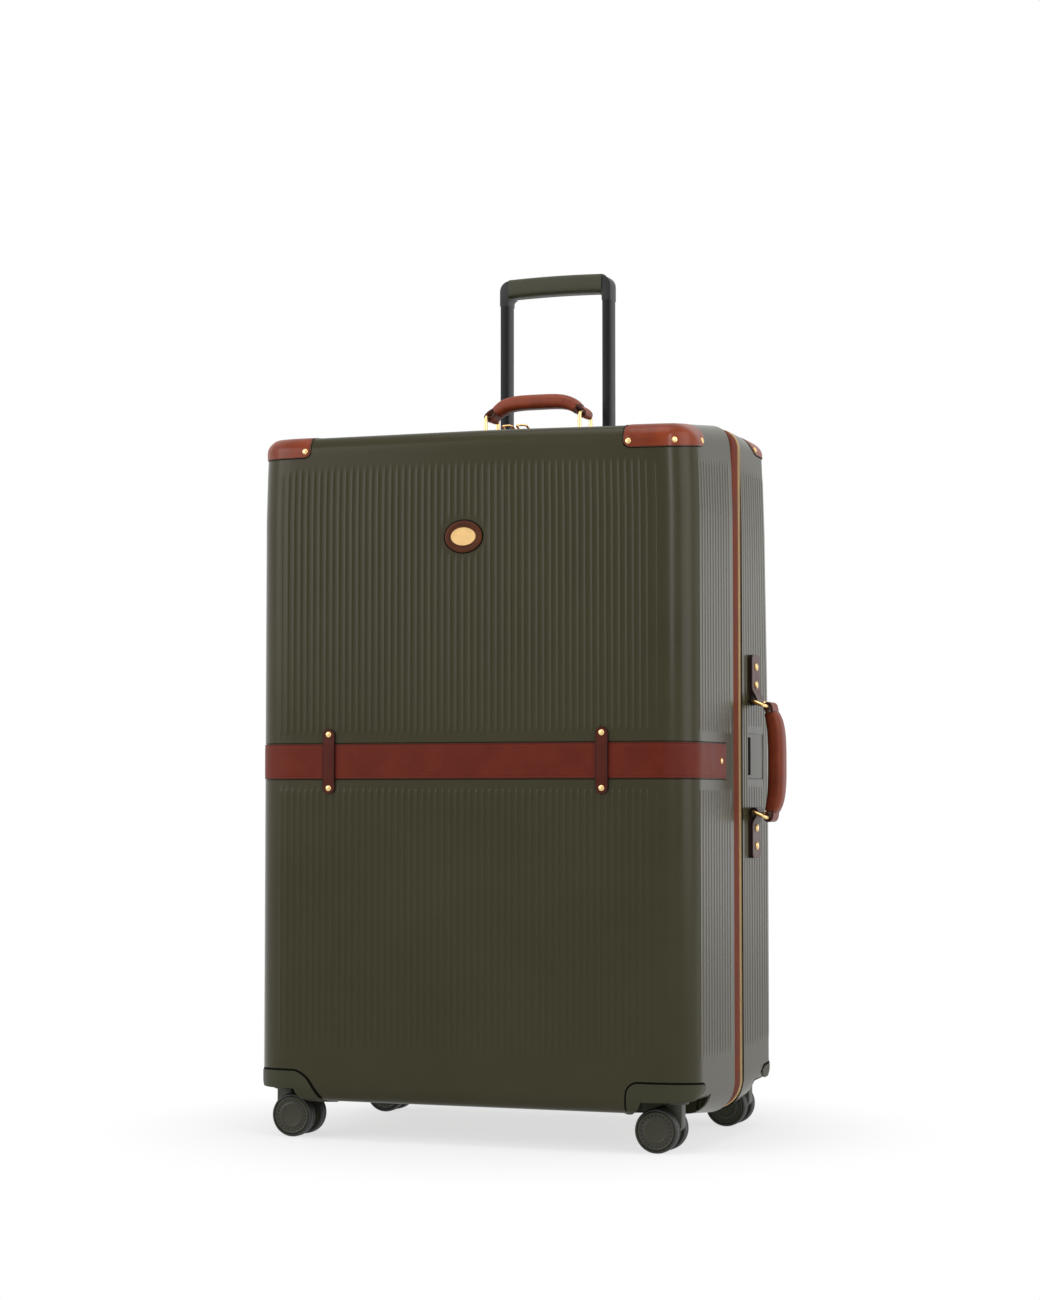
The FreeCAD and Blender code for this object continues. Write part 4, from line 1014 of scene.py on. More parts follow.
def capSheet(half, side, grow, proud, puff):
    start, end = case["halfWidth"] - cap["leg"] - grow, sideRun(half, cap["sideLeg"] + grow)
    tall = capHeight(half, side) + grow
    low = case["top"] - tall
    rows = cap["wallRows"] + cap["topRows"]

    def rounding(rise, radius):
        return radius - np.sqrt(np.maximum(radius ** 2 - (radius - np.minimum(rise, radius)) ** 2, 0))

    def placing(column, row):
        u = column / (cap["columns"] - 1)
        v = np.minimum(row / (cap["wallRows"] - 1), 1)
        fill = np.maximum(row - cap["wallRows"] + 1, 0) / cap["topRows"]
        rise = tall * np.sin(v * math.pi / 2)
        first = start + rounding(rise, cap["corner"])
        last = end - rounding(rise, min(cap["endCorner"], tall))
        run = first + u * (last - first)
        angle = u * math.radians(cap["sweepTurn"])
        goalX = start + cap["sweep"] * (1 - np.cos(angle))
        goalY = half["face"] + half["inward"] * (cap["sideLeg"] + grow - cap["sweep"] * (1 - np.sin(angle)))
        points = skinPoint(half, side * run, low + rise, fill, (side * goalX, goalY))
        border = np.minimum(np.minimum(u, 1 - u) * (end - start),
                            np.minimum(rise + cap["topReach"] * fill, cap["topBorder"] * (1 - fill)))
        line = puff * creasedLine(border, *cap["line"])
        out = proud + puff * smoothStep(border, 0.0, cap["puffReach"]) - line
        out = out - max(proud - cap["topProud"], 0) * smoothStep(rise, tall - cap["settle"], tall)
        return toSkin(points, out)[0], edgeValue(border, 1.6)

    return gridSheet("cap", cap["columns"], rows, placing, (side < 0) != (half is rearHalf))


def capPair(name, half):
    pair = []
    for side in (-1, 1):
        sheet = capSheet(half, side, 0.0, cap["proud"], cap["puff"])
        thicken(sheet, cap["thickness"], 0.35, -1.0, (cognacLeather, cutEdgeAndHighlight))
        pair.append(sheet)
    return joined(name, pair)


def capShadeOutlines(name, half):
    # dark sheet round the caps where they bed into the shell: painted shade
    pair = mirrored(name, lambda side: capSheet(half, side, cap["gap"], cap["shadeProud"], 0.0))
    thicken(pair, cap["shadeThickness"])
    return pair


def rivetModel(radius=3.4, height=1.7):
    angles = np.linspace(0.35, math.pi / 2, 7)
    dome = [(radius * math.cos(a), height * (0.35 + 0.65 * math.sin(a))) for a in angles]
    dome[-1] = (0.0, height)
    shank = [(radius, -0.6), (radius, 0.15 * height), (radius * 0.985, 0.4 * height)]
    return turned("rivet", shank + dome, 24)


def capRivetSpots(half):
    out = cap["proud"]
    face, inward = half["face"], half["inward"]
    spots = []
    for side, degrees in zip((-1, 1), cap["rivetTurns"]):
        z = case["top"] - capHeight(half, side) + cap["rivetRise"]
        turn = math.radians(degrees)
        across, depth = half["corner"] * (1 - math.sin(turn)), half["corner"] * (1 - math.cos(turn))
        spots.append(seatOn(side * (case["halfWidth"] - cap["leg"] + cap["rivetInset"]), face, z, out))
        spots.append(seatOn(side * (case["halfWidth"] - across), face + inward * depth, z, out))
        endDepth = cap["sideLeg"] - cap["endInset"]
        spots.append(seatOn(side * case["halfWidth"], face + inward * endDepth, z - cap["endDrop"], out))
    return spots


for half, name, body in halves:
    pair = capPair(name + "Caps", half)
    finishPiece(pair, name + "Caps", cognacLeather, "cognac_leather", body, name + "_caps")
    finishPiece(capShadeOutlines(name + "CapShadeOutlines", half), name + "CapShadeOutlines", gapShadow, "black_plastic", body)

side = {"x": case["halfWidth"], "y": 80.0, "z": 435.5, "spacing": 129.0, "pivot": 5.0, "ring": 18.0,
        "ringWidth": 48.0, "rise": 8.0, "sleeve": 58.0, "sag": 22.0, "droop": 3.4, "thickness": 19.0,
        "tab": 54.0, "tabWidth": 35.0, "tabThickness": 4.6, "rivets": (19.0, 40.0), "stud": (4.6, 2.2)}
frontSpots = capRivetSpots(frontHalf)
for x in (-keeper["x"], keeper["x"]):
    for rise in (-keeper["rivets"], keeper["rivets"]):
        frontSpots.append(facing((x, case["front"] - keeper["proud"] + 0.2, keeper["z"] + rise), (0, -1, 0)))
for sign in (-1, 1):
    endX = sign * (case["halfWidth"] + belt["proud"])
    endY = case["front"] + belt["reach"] - belt["rivetInset"]
    frontSpots.append(facing((endX, endY, keeper["z"]), (sign, 0, 0)))
frontRivets = stamped("frontRivets", rivetModel(), frontSpots)
finishPiece(frontRivets, "frontRivets", brass, "brass", "front_case", "front_rivets")
studSpots = []
for sign in (-1, 1):
    for reach in side["rivets"]:
        z = side["z"] + sign * (side["spacing"] / 2 + reach)
        studSpots.append(facing((side["x"] + side["tabThickness"], side["y"], z), (1, 0, 0)))
rearRivets = joined("rearRivets", [stamped("capRivets", rivetModel(), capRivetSpots(rearHalf)),
                                   stamped("tabStuds", rivetModel(*side["stud"]), studSpots)])
finishPiece(rearRivets, "rearRivets", brass, "brass", "rear_case", "rear_rivets")
for rivets in (frontRivets, rearRivets):
    smooth(rivets, 40.0)
print("leather trim and rivets made")


# Oval badge: leather pad with a blank brushed plate

def ovalBody(name, profile, halfWidth, halfHeight):
    # (share of the radius, distance in front of the shell's face)
    obj = turned(name, [(share * halfWidth, out) for share, out in profile], 72)
    stand = shift(0, case["front"], badge["z"]) @ Matrix.Rotation(math.pi / 2, 4, "X")
    return place(obj, stand @ Matrix.Diagonal((1, halfHeight / halfWidth, 1, 1)))


padSize = (badge["halfWidth"], badge["halfHeight"])
# near-black oval just wider than the pad: painted shade round the badge
badgeShadeProfile = [(1.07, -0.6), (1.07, 0.1), (1.05, 0.18), (0.0, 0.18)]
badgeShadeOval = ovalBody("badgeShadeRing", badgeShadeProfile, *padSize)
finishPiece(badgeShadeOval, "badgeShadeRing", gapShadow, "black_plastic", "front_case")
padProfile = [(1.0, -0.5), (1.0, 0.55), (0.985, 0.85), (0.95, 1.1), (0.87, 1.3), (0.79, 1.22), (0.74, 0.95),
              (0.72, 0.6), (0.0, 0.6)]
badgePad = ovalBody("badgePad", padProfile, *padSize)
finishPiece(badgePad, "badgePad", padLeather, "cognac_leather", "front_case", "badge_pad")
plateProfile = [(1.0, 0.3), (1.0, 1.1), (0.975, 1.45), (0.94, 1.55), (0.9, 1.42), (0.86, 1.38),
                (0.5, 1.6), (0.0, 1.72)]
badgePlate = ovalBody("badgePlate", plateProfile, *badge["plate"])
finishPiece(badgePlate, "badgePlate", brushedGold, "brass", "front_case", "badge_plate")
print("badge made")


# Casters: corner housings, forks and twin wheels

# the gap values size the dark sheet round each lip, which is painted shade
lip = {"leg": 66.0, "spread": 50.0, "straightLeg": 71.0, "straightSpread": 4.0, "sideLeg": 62.0,
       "sideTuck": 46.0, "high": 77.0, "proud": 1.0, "thickness": 3.2, "corner": 12.0, "gap": 2.3,
       "shadeProud": 0.15, "shadeThickness": 0.6, "tuckUnder": 0.12, "inside": -0.6, "underLining": -2.0,
       "tuckDrop": 20.0, "tuckPower": 2.2, "edge": 0.5}


def lipSheet(half, side, grow, out, thickness, edge):
    # sheet on a lower corner of the case; its leg on the face runs to the floor, that on the side ends round
    columns, wallRows, underRows = 64, 24, 4
    straight = half is frontHalf and side > 0
    leg, slant = (lip["straightLeg"], lip["straightSpread"]) if straight else (lip["leg"], lip["spread"])
    high = lip["high"] + grow
    radius = lip["corner"] + grow

    def placing(column, row):
        u = column / (columns - 1)
        share = np.cos(np.minimum(row / (wallRows - 1), 1) * math.pi / 2)
        z = case["bottom"] + (high - case["bottom"]) * share
        under = np.maximum(row - wallRows + 1, 0) / underRows * lip["tuckUnder"]
        drop = high - z
        tuck = radius - np.sqrt(np.maximum(radius ** 2 - (radius - np.minimum(drop, radius)) ** 2, 0))
        first = case["halfWidth"] - leg - grow - slant * drop / lip["high"] + tuck
        sideTuck = lip["sideTuck"] * np.minimum((drop / lip["tuckDrop"]) ** lip["tuckPower"], 1)
        last = sideRun(half, lip["sideLeg"] + grow) - np.maximum(tuck, sideTuck)
        points = skinPoint(half, first + u * (last - first), z, under)
        points = toSkin(points, np.full(len(u), out))[0]
        points[:, 0] *= side
        return points, None

    sheet = gridSheet("lip", columns, wallRows + underRows, placing, (side > 0) != (half is rearHalf))
    thicken(sheet, thickness, edge)
    return sheet


def lipPair(name, half, grow, out, thickness, edge):
    pair = mirrored(name, lambda side: lipSheet(half, side, grow, out, thickness, edge))
    cutAway(pair, pocketCutters(-half["inward"], casters["well"]))
    smooth(pair, 34.0)
    return pair


def housings(node):
    # cups and bosses of a half's housings, kept just inside the skin, and beside the cups in the wall
    obj = copyOfNode(node)
    points = np.array([v.co for v in obj.data.vertices]) / mm
    gap = skinGap(points)[0]
    proud = gap > lip["inside"]
    points[proud] = toSkin(points[proud], np.full(proud.sum(), lip["inside"]))[0]
    fromStem = np.hypot(abs(points[:, 0]) - casters["x"], abs(points[:, 1]) - casters["y"])
    beside = (fromStem > casters["cup"][0] + 1) & (gap < -ribs["wall"])
    points[beside] = toSkin(points[beside], np.full(beside.sum(), lip["underLining"]))[0]
    obj.data.vertices.foreach_set("co", (points * mm).ravel())
    obj.data.update()
    smooth(obj, 35.0)
    return obj


for half, name, body in halves:
    node = name + "_housings"
    finishPiece(housings(node), name + "Housings", housingPlastic, "housing", body, node)
    lips = lipPair(name + "HousingLips", half, 0.0, lip["proud"], lip["thickness"], lip["edge"])
    finishPiece(lips, name + "HousingLips", housingPlastic, "housing", body)
    # near-black sheet round each lip: painted shade in the gap
    shadeOutlines = lipPair(name + "HousingShadeOutlines", half, lip["gap"], lip["shadeProud"], lip["shadeThickness"], 0.0)
    finishPiece(shadeOutlines, name + "HousingShadeOutlines", gapShadow, "black_plastic", body)

wheel = {"radius": casters["radius"], "dots": 24, "dotRadius": 17.0, "dotSize": 1.35, "face": 6.4}
hubProfile = [(0.0, -7.0), (19.5, -7.0), (20.6, -6.4), (21.4, -6.4), (21.4, 5.6), (21.0, 6.2), (20.3, 6.6),
              (19.7, 6.7), (19.2, 6.4), (14.2, 6.4), (13.7, 6.7), (13.1, 6.9), (12.3, 6.9), (11.8, 6.5),
              (11.0, 6.35), (0.0, 6.25)]
tyreProfile = [(21.5, -6.3), (22.0, -6.9), (22.8, -7.0), (23.8, -6.4), (24.3, -5.2), (24.5, -3.6),
               (24.5, -1.2), (24.25, -0.9), (24.25, 0.9), (24.5, 1.2), (24.5, 3.6), (24.3, 5.2),
               (23.8, 6.4), (22.8, 7.0), (22.1, 6.9), (21.6, 6.2), (21.5, 5.4), (21.5, -6.3)]


def hubHoleShades():
    # ring of small dark discs on a hub's face: painted shade standing for holes
    release()
    bpy.ops.mesh.primitive_uv_sphere_add(segments=10, ring_count=4, radius=wheel["dotSize"] * mm)
    pip = place(bpy.context.object, Matrix.Diagonal((1, 1, 0.3, 1)))
    angles = [2 * math.pi * i / wheel["dots"] for i in range(wheel["dots"])]
    radius = wheel["dotRadius"]
    spots = [shift(radius * math.cos(a), radius * math.sin(a), wheel["face"]) for a in angles]
    return stamped("pips", pip, spots)


def twin(name, model, axleX, stemY):
    # two copies of a wheel part, their outer faces turned away from each other
    half = casters["spacing"] / 2
    spots = [facing((axleX, stemY + sign * half, wheel["radius"]), (0, sign, 0)) for sign in (-1, 1)]
    return stamped(name, model, spots)


for name, signX, signY in (("fl", -1, -1), ("fr", 1, -1), ("rl", -1, 1), ("rr", 1, 1)):
    axleX, stemY = signX * (casters["x"] - casters["trail"]), signY * casters["y"]
    hub = twin("hub_" + name, turned("hubDisc", hubProfile, 56), axleX, stemY)
    smooth(hub, 34.0)
    finishPiece(hub, "hub_" + name, hubPlastic, "hub", "wheels_" + name, "caster_hubs_" + name)
    dots = twin("hubHoleShades_" + name, hubHoleShades(), axleX, stemY)
    smooth(dots, 60.0)
    finishPiece(dots, "hubHoleShades_" + name, blackPlastic, "hub", "wheels_" + name)
    tyre = twin("tyre_" + name, turned("tread", tyreProfile, 64), axleX, stemY)
    smooth(tyre, 40.0)
    finishPiece(tyre, "tyre_" + name, tyreRubber, "tyre", "wheels_" + name, "caster_tyres_" + name)
    dressNode("caster_fork_" + name, forkPlastic, "fork_plastic", 1.2, 50.0)
    frame["nodes"]["caster_axle_" + name].data.materials.clear()
    frame["nodes"]["caster_axle_" + name].data.materials.append(steel)
print("casters made")


# Telescopic handle

gripLow, gripHigh = boxOf("trolley_grip")
socketLow, socketHigh = boxOf("trolley_sockets")
grip = {"half": gripHigh.x + 0.9, "low": gripLow.z - 3.0, "high": gripHigh.z, "y0": gripLow.y,
        "y1": gripHigh.y, "crown": 1.2, "bulge": 0.48, "fillet": 5.0, "outer": 13.0, "sheath": 0.05,
        "elbowDrop": 2.0, "elbowEdge": 2.6}


def gripSleeve():
    # moulded bar, arched so that its top is crowned and its underside slightly hollow
    columns, rows = 49, 41

    def placing(column, row):
        u = column / (columns - 1) * 2 - 1
        angle = 2 * math.pi * row / (rows - 1)
        closing = np.where((column == 0) | (column == columns - 1), 0.0, 1.0)
        halfY, halfZ = (grip["y1"] - grip["y0"]) / 2, (grip["high"] - grip["low"]) / 2
        across = squared(np.cos(angle), grip["bulge"])
        rise = squared(np.sin(angle), grip["bulge"])
        x = u * grip["half"] / ((columns - 3) / (columns - 1))
        x = np.clip(x, -grip["half"], grip["half"])
        arch = grip["crown"] * (1 - (x / grip["half"]) ** 2)
        y = (grip["y0"] + grip["y1"]) / 2 + across * halfY * closing
        z = (grip["low"] + grip["high"]) / 2 + rise * halfZ * closing + arch
        return np.stack([x, y, z], axis=1), None

    obj = gridSheet("gripSleeve", columns, rows, placing)
    shape(obj, bpy.ops.mesh.normals_make_consistent, inside=False)
    smooth(obj, 50.0)
    return obj


def gripElbow(sign):
    # flush with the tube outside, rounded into the grip inside
    width = tubeHigh.x - trolley["tubeX"]
    x0, x1 = trolley["tubeX"] - width - grip["sheath"], tubeHigh.x + grip["sheath"]
    low, high, fillet, outer = socketLow.z, socketHigh.z - grip["elbowDrop"], grip["fillet"], grip["outer"]
    outline = [(x1, low), (x1, high - outer)] + arcPoints((x1 - outer, high - outer), outer, 0, 90, 9)[1:]
    outline += [(x0 - 0.2, high), (x0 - 0.2, grip["low"] + 0.5), (x0 - fillet, grip["low"] + 0.2)]
    outline += arcPoints((x0 - fillet, grip["low"] - fillet), fillet, 90, 0, 7)[1:] + [(x0, low)]
    outline = [(sign * x, z) for x, z in outline]
    front, back = tubeLow.y - grip["sheath"], tubeHigh.y + grip["sheath"]
    return slab("elbow", outline, front, back, grip["elbowEdge"], 4)


def tubeBody(x):
    low, high = tubeLow.z, socketLow.z + trolley["intoSocket"]
    width, depth = (tubeHigh.x - trolley["tubeX"]) * 2, tubeHigh.y - tubeLow.y
    outline = roundedOutline(-width / 2, width / 2, -depth / 2, depth / 2, trolley["corner"], 5)
    points = [(x + u, trolley["y"] + v, low) for u, v in outline]
    tube = meshObject("tube", points, (), [tuple(range(len(points)))])
    shape(tube, bpy.ops.mesh.extrude_region_move, TRANSFORM_OT_translate={"value": (0, 0, (high - low) * mm)})
    shape(tube, bpy.ops.mesh.normals_make_consistent, inside=False)
    smooth(tube, 40.0)
    return tube


finishPiece(gripSleeve(), "gripSleeve", gripPlastic, "grip_plastic", "trolley", "trolley_grip")
gripElbows = mirrored("gripElbows", gripElbow)
finishPiece(gripElbows, "gripElbows", blackPlastic, "black_plastic", "trolley", "trolley_sockets")
handleTubes = mirrored("handleTubes", tubeBody, trolley["tubeX"])
finishPiece(handleTubes, "handleTubes", tubeFinish, "tube", "trolley", "trolley_tubes")
dressNode("trolley_button", blackPlastic, "black_plastic", 0.8)
dressNode("trolley_bezel", blackPlastic, "black_plastic", 1.2)
frame["nodes"]["trolley_channels"].data.materials.clear()
frame["nodes"]["trolley_channels"].data.materials.append(aluminium)
print("telescopic handle made")


# Swing handles, drawn along X with Z out of the case, then placed

top = {"y": 68.0, "spacing": 120.0, "pivot": 7.0, "ring": 24.0, "ringWidth": 45.0, "rise": 17.0,
       "sleeve": 53.0, "sag": 0.0, "droop": 4.2, "thickness": 17.5}
wire = {"radius": 2.25, "corner": 5.5, "strapWidth": 26.0, "strap": 2.7, "loop": 4.1, "layer": 1.5}
sleeve = {"width": 29.0, "bulge": 0.62, "endShare": 0.9, "drawnDown": 0.35, "seamHeight": 0.5,
          "seamInset": 2.8, "seamWidth": 0.9, "seamFrom": 4.0, "stitch": (2.3, 0.7, 0.8), "stitchProud": 0.1,
          "stitchPitch": 3.3, "stitchInset": 3.6, "stitchedShare": 0.94}
topPlace = shift(0, top["y"], case["roof"])
sidePlace = shift(side["x"], side["y"], side["z"]) @ Matrix.Rotation(math.pi / 2, 4, "Y")


def swingRing(name, spec, x, placing):
    half = spec["ringWidth"] / 2 - wire["radius"]
    lean, rise = math.sin(math.radians(spec["sag"])), math.cos(math.radians(spec["sag"]))
    outline = roundedOutline(-half, half, 0, spec["ring"], wire["corner"], 8)
    ring = rodLoop(name, [(x + v * lean, u, spec["pivot"] + v * rise) for u, v in outline], wire["radius"])
    return place(ring, placing)


def archPoint(spec, reach, lift):
    # place on the handle's arch at a share of its half length, lifted off its middle line
    half = spec["spacing"] / 2
    fall = np.abs(reach) ** spec["droop"]
    steep = spec["rise"] * spec["droop"] / half * fall / np.maximum(np.abs(reach), 1e-6)
    angle = np.arctan(steep) * np.sign(reach)
    base = spec["pivot"] + spec["ring"] + spec["rise"] * (1 - fall)
    return half * reach + lift * np.sin(angle), base + lift * np.cos(angle), angle


def strapPath(spec):
    # one strap: under the arch, round a ring's bar, over the arch, round the other bar and back under
    last = 0.985

    def spread(share):
        opening = float(smoothStep(np.array(abs(share)), 0.8, last))
        return wire["layer"] + (wire["loop"] - wire["layer"]) * opening

    over = [archPoint(spec, t, spread(t))[:2] for t in np.linspace(-last, last, 61)]
    under = [archPoint(spec, t, -spread(t))[:2] for t in np.linspace(last, 0.45, 16)]
    x, z, angle = archPoint(spec, 1.0, 0.0)
    tilt = 90 - math.degrees(float(angle))
    wrap = arcPoints((float(x), float(z)), wire["loop"], tilt, tilt - 180, 13)
    right = wrap + under
    left = [(-u, v) for u, v in reversed(right)]
    return left + over + right


def stripSheet(name, path, width, thickness, edge):
    # flat strip of leather along a path in X and Z
    rows = 13

    def placing(column, row):
        share = row / (rows - 1) * 2 - 1
        spots = np.array(path)[column]
        half = width(spots) if callable(width) else np.full(len(column), width / 2)
        points = np.stack([spots[:, 0], share * half, spots[:, 1]], axis=1)
        return points, edgeValue(half * (1 - np.abs(share)), 1.6)

    sheet = gridSheet(name, len(path), rows, placing)
    thicken(sheet, thickness, edge, 0.0)
    return sheet


def sleeveFullness(share):
    # the sleeve is full in its middle and slimmer at its ends
    return sleeve["endShare"] + (1 - sleeve["endShare"]) * (1 - abs(share) ** 3)


def sleeveBody(spec):
    # wrapped leather sleeve: full in the middle, drawn in at its square ends, with a seam ridge
    columns, rows = 61, 49
    share = spec["sleeve"] / (spec["spacing"] / 2)

    def placing(column, row):
        inner = np.clip((column - 2) / (columns - 5), 0, 1) * 2 - 1
        fromEnd = np.minimum(column, columns - 1 - column)
        closing = np.select([fromEnd == 0, fromEnd == 1], [0.0, 0.93], 1.0)
        angle = 2 * math.pi * row / (rows - 1)
        full = sleeveFullness(inner)
        across = squared(np.cos(angle), sleeve["bulge"]) * sleeve["width"] / 2 * full
        lift = squared(np.sin(angle), sleeve["bulge"]) * spec["thickness"] / 2 * full
        lift = lift - np.maximum(lift, 0) * sleeve["drawnDown"] * np.abs(inner) ** 9     # outer corners
        fromSeam = (lift - spec["thickness"] / 2 + sleeve["seamInset"]) / sleeve["seamWidth"]
        seam = sleeve["seamHeight"] * np.exp(-fromSeam ** 2) * (np.abs(across) > sleeve["seamFrom"])
        reach = np.clip(inner * share, -share, share)
        x, z = archPoint(spec, reach, lift * closing)[:2]
        border = (1 - np.abs(inner)) * spec["sleeve"]
        return np.stack([x, (across - np.sign(across) * seam) * closing, z], axis=1), edgeValue(border, 2.0)

    obj = gridSheet("sleeve", columns, rows, placing)
    shape(obj, bpy.ops.mesh.normals_make_consistent, inside=False)
    smooth(obj, 50.0)
    return obj


def sleeveStitches(spec):
    release()
    bpy.ops.mesh.primitive_uv_sphere_add(segments=6, ring_count=4, radius=0.5)
    stitch = place(bpy.context.object, Matrix.Diagonal((*(Vector(sleeve["stitch"]) * mm), 1)))
    share = spec["sleeve"] / (spec["spacing"] / 2) * sleeve["stitchedShare"]
    count = int(2 * spec["sleeve"] * sleeve["stitchedShare"] / sleeve["stitchPitch"])
    spots = []
    for i in range(count + 1):
        reach = -share + 2 * share * i / count
        lift = spec["thickness"] / 2 - sleeve["stitchInset"]
        x, z, turn = archPoint(spec, np.array(reach), lift)
        width = sleeve["width"] / 2 * sleeveFullness(reach / share)
        bend = width * (1 - (lift / (spec["thickness"] / 2)) ** (1 / sleeve["bulge"])) ** sleeve["bulge"]
        for sign in (-1, 1):
            tilt = Matrix.Rotation(float(turn), 4, "Y")
            spots.append(shift(float(x), sign * (bend + sleeve["stitchProud"]), float(z)) @ tilt)
    return stamped("stitches", stitch, spots)


def leatherHandle(name, spec, placing, body, leather):
    sag = math.radians(spec["sag"])
    placing = placing @ shift(spec["ring"] * math.sin(sag), 0, -spec["ring"] * (1 - math.cos(sag)))
    strap = stripSheet(name + "Strap", strapPath(spec), wire["strapWidth"], wire["strap"], 0.5)
    place(strap, placing)
    finishPiece(strap, name + "Strap", leather, "cognac_leather", body, body)
    wrapped = place(sleeveBody(spec), placing)
    finishPiece(wrapped, name + "Sleeve", leather, "cognac_leather", body)
    stitches = place(sleeveStitches(spec), placing)
    smooth(stitches, 60.0)
    finishPiece(stitches, name + "Stitches", threadFinish, "cognac_leather", body)


for name, spec, placing, leather, first, second in (
        ("top", top, topPlace, topHandleLitLeather, "top_ring_left", "top_ring_right"),
        ("side", side, sidePlace, handleLeather, "side_ring_upper", "side_ring_lower")):
    half = spec["spacing"] / 2
    for x, node in ((-half, first), (half, second)):
        finishPiece(swingRing(node, spec, x, placing), node + "_wire", brass, "brass", node, node)
    leatherHandle(name + "Handle", spec, placing, name + "_grip", leather)
dressNode("handle_brackets", brass, "brass", 0.5)


def tabPath():
    # riveted tab: along the case, up over the ring's bar and back under
    lift = side["tabThickness"] - 1.3
    wrap = arcPoints((0, side["pivot"]), 3.75, 60, 250, 15)
    tip = side["tab"]
    path = [(tip, lift), (tip - 0.6, lift)] + [(x, lift) for x in np.linspace(tip - 4, 16, 14)]
    path += [(13, 3.6), (9.5, 4.8), (6, 6.8)] + wrap + [(3, 1.1)]
    return path + [(x, 1.0) for x in np.linspace(8, tip - 4, 14)] + [(tip - 0.6, 1.0), (tip, 1.0)]


def tabWidth(spots):
    end = np.clip((side["tab"] - spots[:, 0]) / 5, 0, 1)
    corner = side["tabWidth"] / 2 - 5 * (1 - np.sqrt(1 - (1 - end) ** 2))
    return np.where(spots[:, 0] > 15, corner, 15.0 + 2.5 * smoothStep(spots[:, 0], 6, 15))


tabs = []
for sign in (-1, 1):
    tab = stripSheet("tab", tabPath(), tabWidth, 2.6, 0.5)
    if sign < 0:
        place(tab, Matrix.Rotation(math.pi, 4, "Z"))
    tabs.append(place(tab, sidePlace @ shift(sign * side["spacing"] / 2, 0, 0)))
finishPiece(joined("sideTabs", tabs), "sideTabs", tabLeather, "belt_leather", "rear_case", "side_tabs")
print("swing handles made")


# Lock, zip sliders, feet and packing straps

dial = {"notches": 20, "frame": 0.35, "depth": 0.5, "edge": 0.2}


def dialBody(node):
    # notched wheel of the combination lock
    low, high = boxOf(node)
    centre = (low + high) / 2
    release()
    bpy.ops.mesh.primitive_cylinder_add(vertices=40, radius=(high.z - low.z) / 2 * mm,
                                        depth=(high.x - low.x) * mm)
    roller = place(bpy.context.object, facing(centre, (1, 0, 0)))
    step = 2 * math.pi / dial["notches"]

    def inNotch(centrePoint, normal):
        angle = math.atan2(centrePoint.z - centre.z, centrePoint.y - centre.y)
        return abs(normal.x) < 0.5 and (angle % step) < step / 2

    shape(roller, bpy.ops.mesh.inset, faces=inNotch, thickness=dial["frame"] * mm,
          depth=-dial["depth"] * mm, use_individual=True)
    soften(roller, dial["edge"], 1, 60.0)
    smooth(roller)
    return roller


for i in (1, 2, 3):
    node = "lock_dial_%d" % i
    finishPiece(dialBody(node), node + "_look", brass, "brass", node, node)
dressNode("lock_body", blackPlastic, "black_plastic", 0.8)
dressNode("lock_button", brass, "brass", 0.5)
pull = {"wire": 1.3, "corner": 3.6}
for name in ("left", "right"):
    dressNode("zip_slider_" + name, brass, "brass", 0.4)
    low, high = boxOf("zip_pull_" + name)
    edge = Vector((pull["wire"],) * 3)
    near, far = low + edge, high - edge                 # it leans forward from its pivot, low at the back
    length = math.hypot(far.y - near.y, far.z - near.z)
    outline = roundedOutline(near.x, far.x, 0, length, pull["corner"], 6)
    along = Vector((0, near.y - far.y, far.z - near.z)) / length
    loop = rodLoop("pull", [(u, far.y + v * along.y, near.z + v * along.z) for u, v in outline], pull["wire"])
    finishPiece(loop, "zip_pull_%s_wire" % name, brass, "brass", "zip_pull_" + name, "zip_pull_" + name)

footProfile = [(9.0, -0.8), (9.0, 0.0), (9.0, 0.8), (8.6, 1.2), (7.2, 4.2), (6.6, 4.8), (5.8, 5.0),
               (0.0, 5.0)]
for name, body in (("front_feet", "front_case"), ("rear_feet", "rear_case")):
    low, high = boxOf(name)
    y, radius = (low.y + high.y) / 2, footProfile[0][0]
    spots = [facing((-case["halfWidth"], y, z), (-1, 0, 0)) for z in (low.z + radius, high.z - radius)]
    feet = stamped(name, turned("foot", footProfile, 32), spots)
    smooth(feet, 34.0)
    finishPiece(feet, name + "_look", blackPlastic, "black_plastic", body, name)

straps = {"x": 45.0, "width": 30.0, "thickness": 1.6, "low": strapLow.z, "high": strapHigh.z,
          "y": strapHigh.y - 1.0, "wave": 0.5, "waveLengths": (47.0, 91.0)}
buckle = {"half": 20.0, "tall": 25.0, "front": strapLow.y, "z": (strapLow.z + strapHigh.z) / 2, "corner": 6.0,
          "frame": 4.5, "hollow": 1.6}


def packingStrap(x):
    columns, rows = 9, 121

    def placing(column, row):
        across = (column / (columns - 1) - 0.5) * straps["width"]
        z = straps["low"] + (straps["high"] - straps["low"]) * row / (rows - 1)
        short, long = straps["waveLengths"]
        wave = straps["wave"] * np.sin(z / short + x) * np.sin(z / long)
        return np.stack([x + across, straps["y"] - np.abs(wave), z], axis=1), None

    sheet = gridSheet("strap", columns, rows, placing)
    thicken(sheet, straps["thickness"], 0.2, 0.0)
    return sheet


def strapBuckle(x):
    outline = roundedOutline(x - buckle["half"], x + buckle["half"], buckle["z"] - buckle["tall"],
                             buckle["z"] + buckle["tall"], buckle["corner"], 6)
    body = slab("buckle", outline, buckle["front"], straps["y"] - 0.5, 1.2, 3)
    shape(body, bpy.ops.mesh.inset, faces=lambda c, n: n.y < -0.99 and c.y < buckle["front"] + 0.2,
          thickness=buckle["frame"] * mm, depth=-buckle["hollow"] * mm)
    smooth(body)
    return body


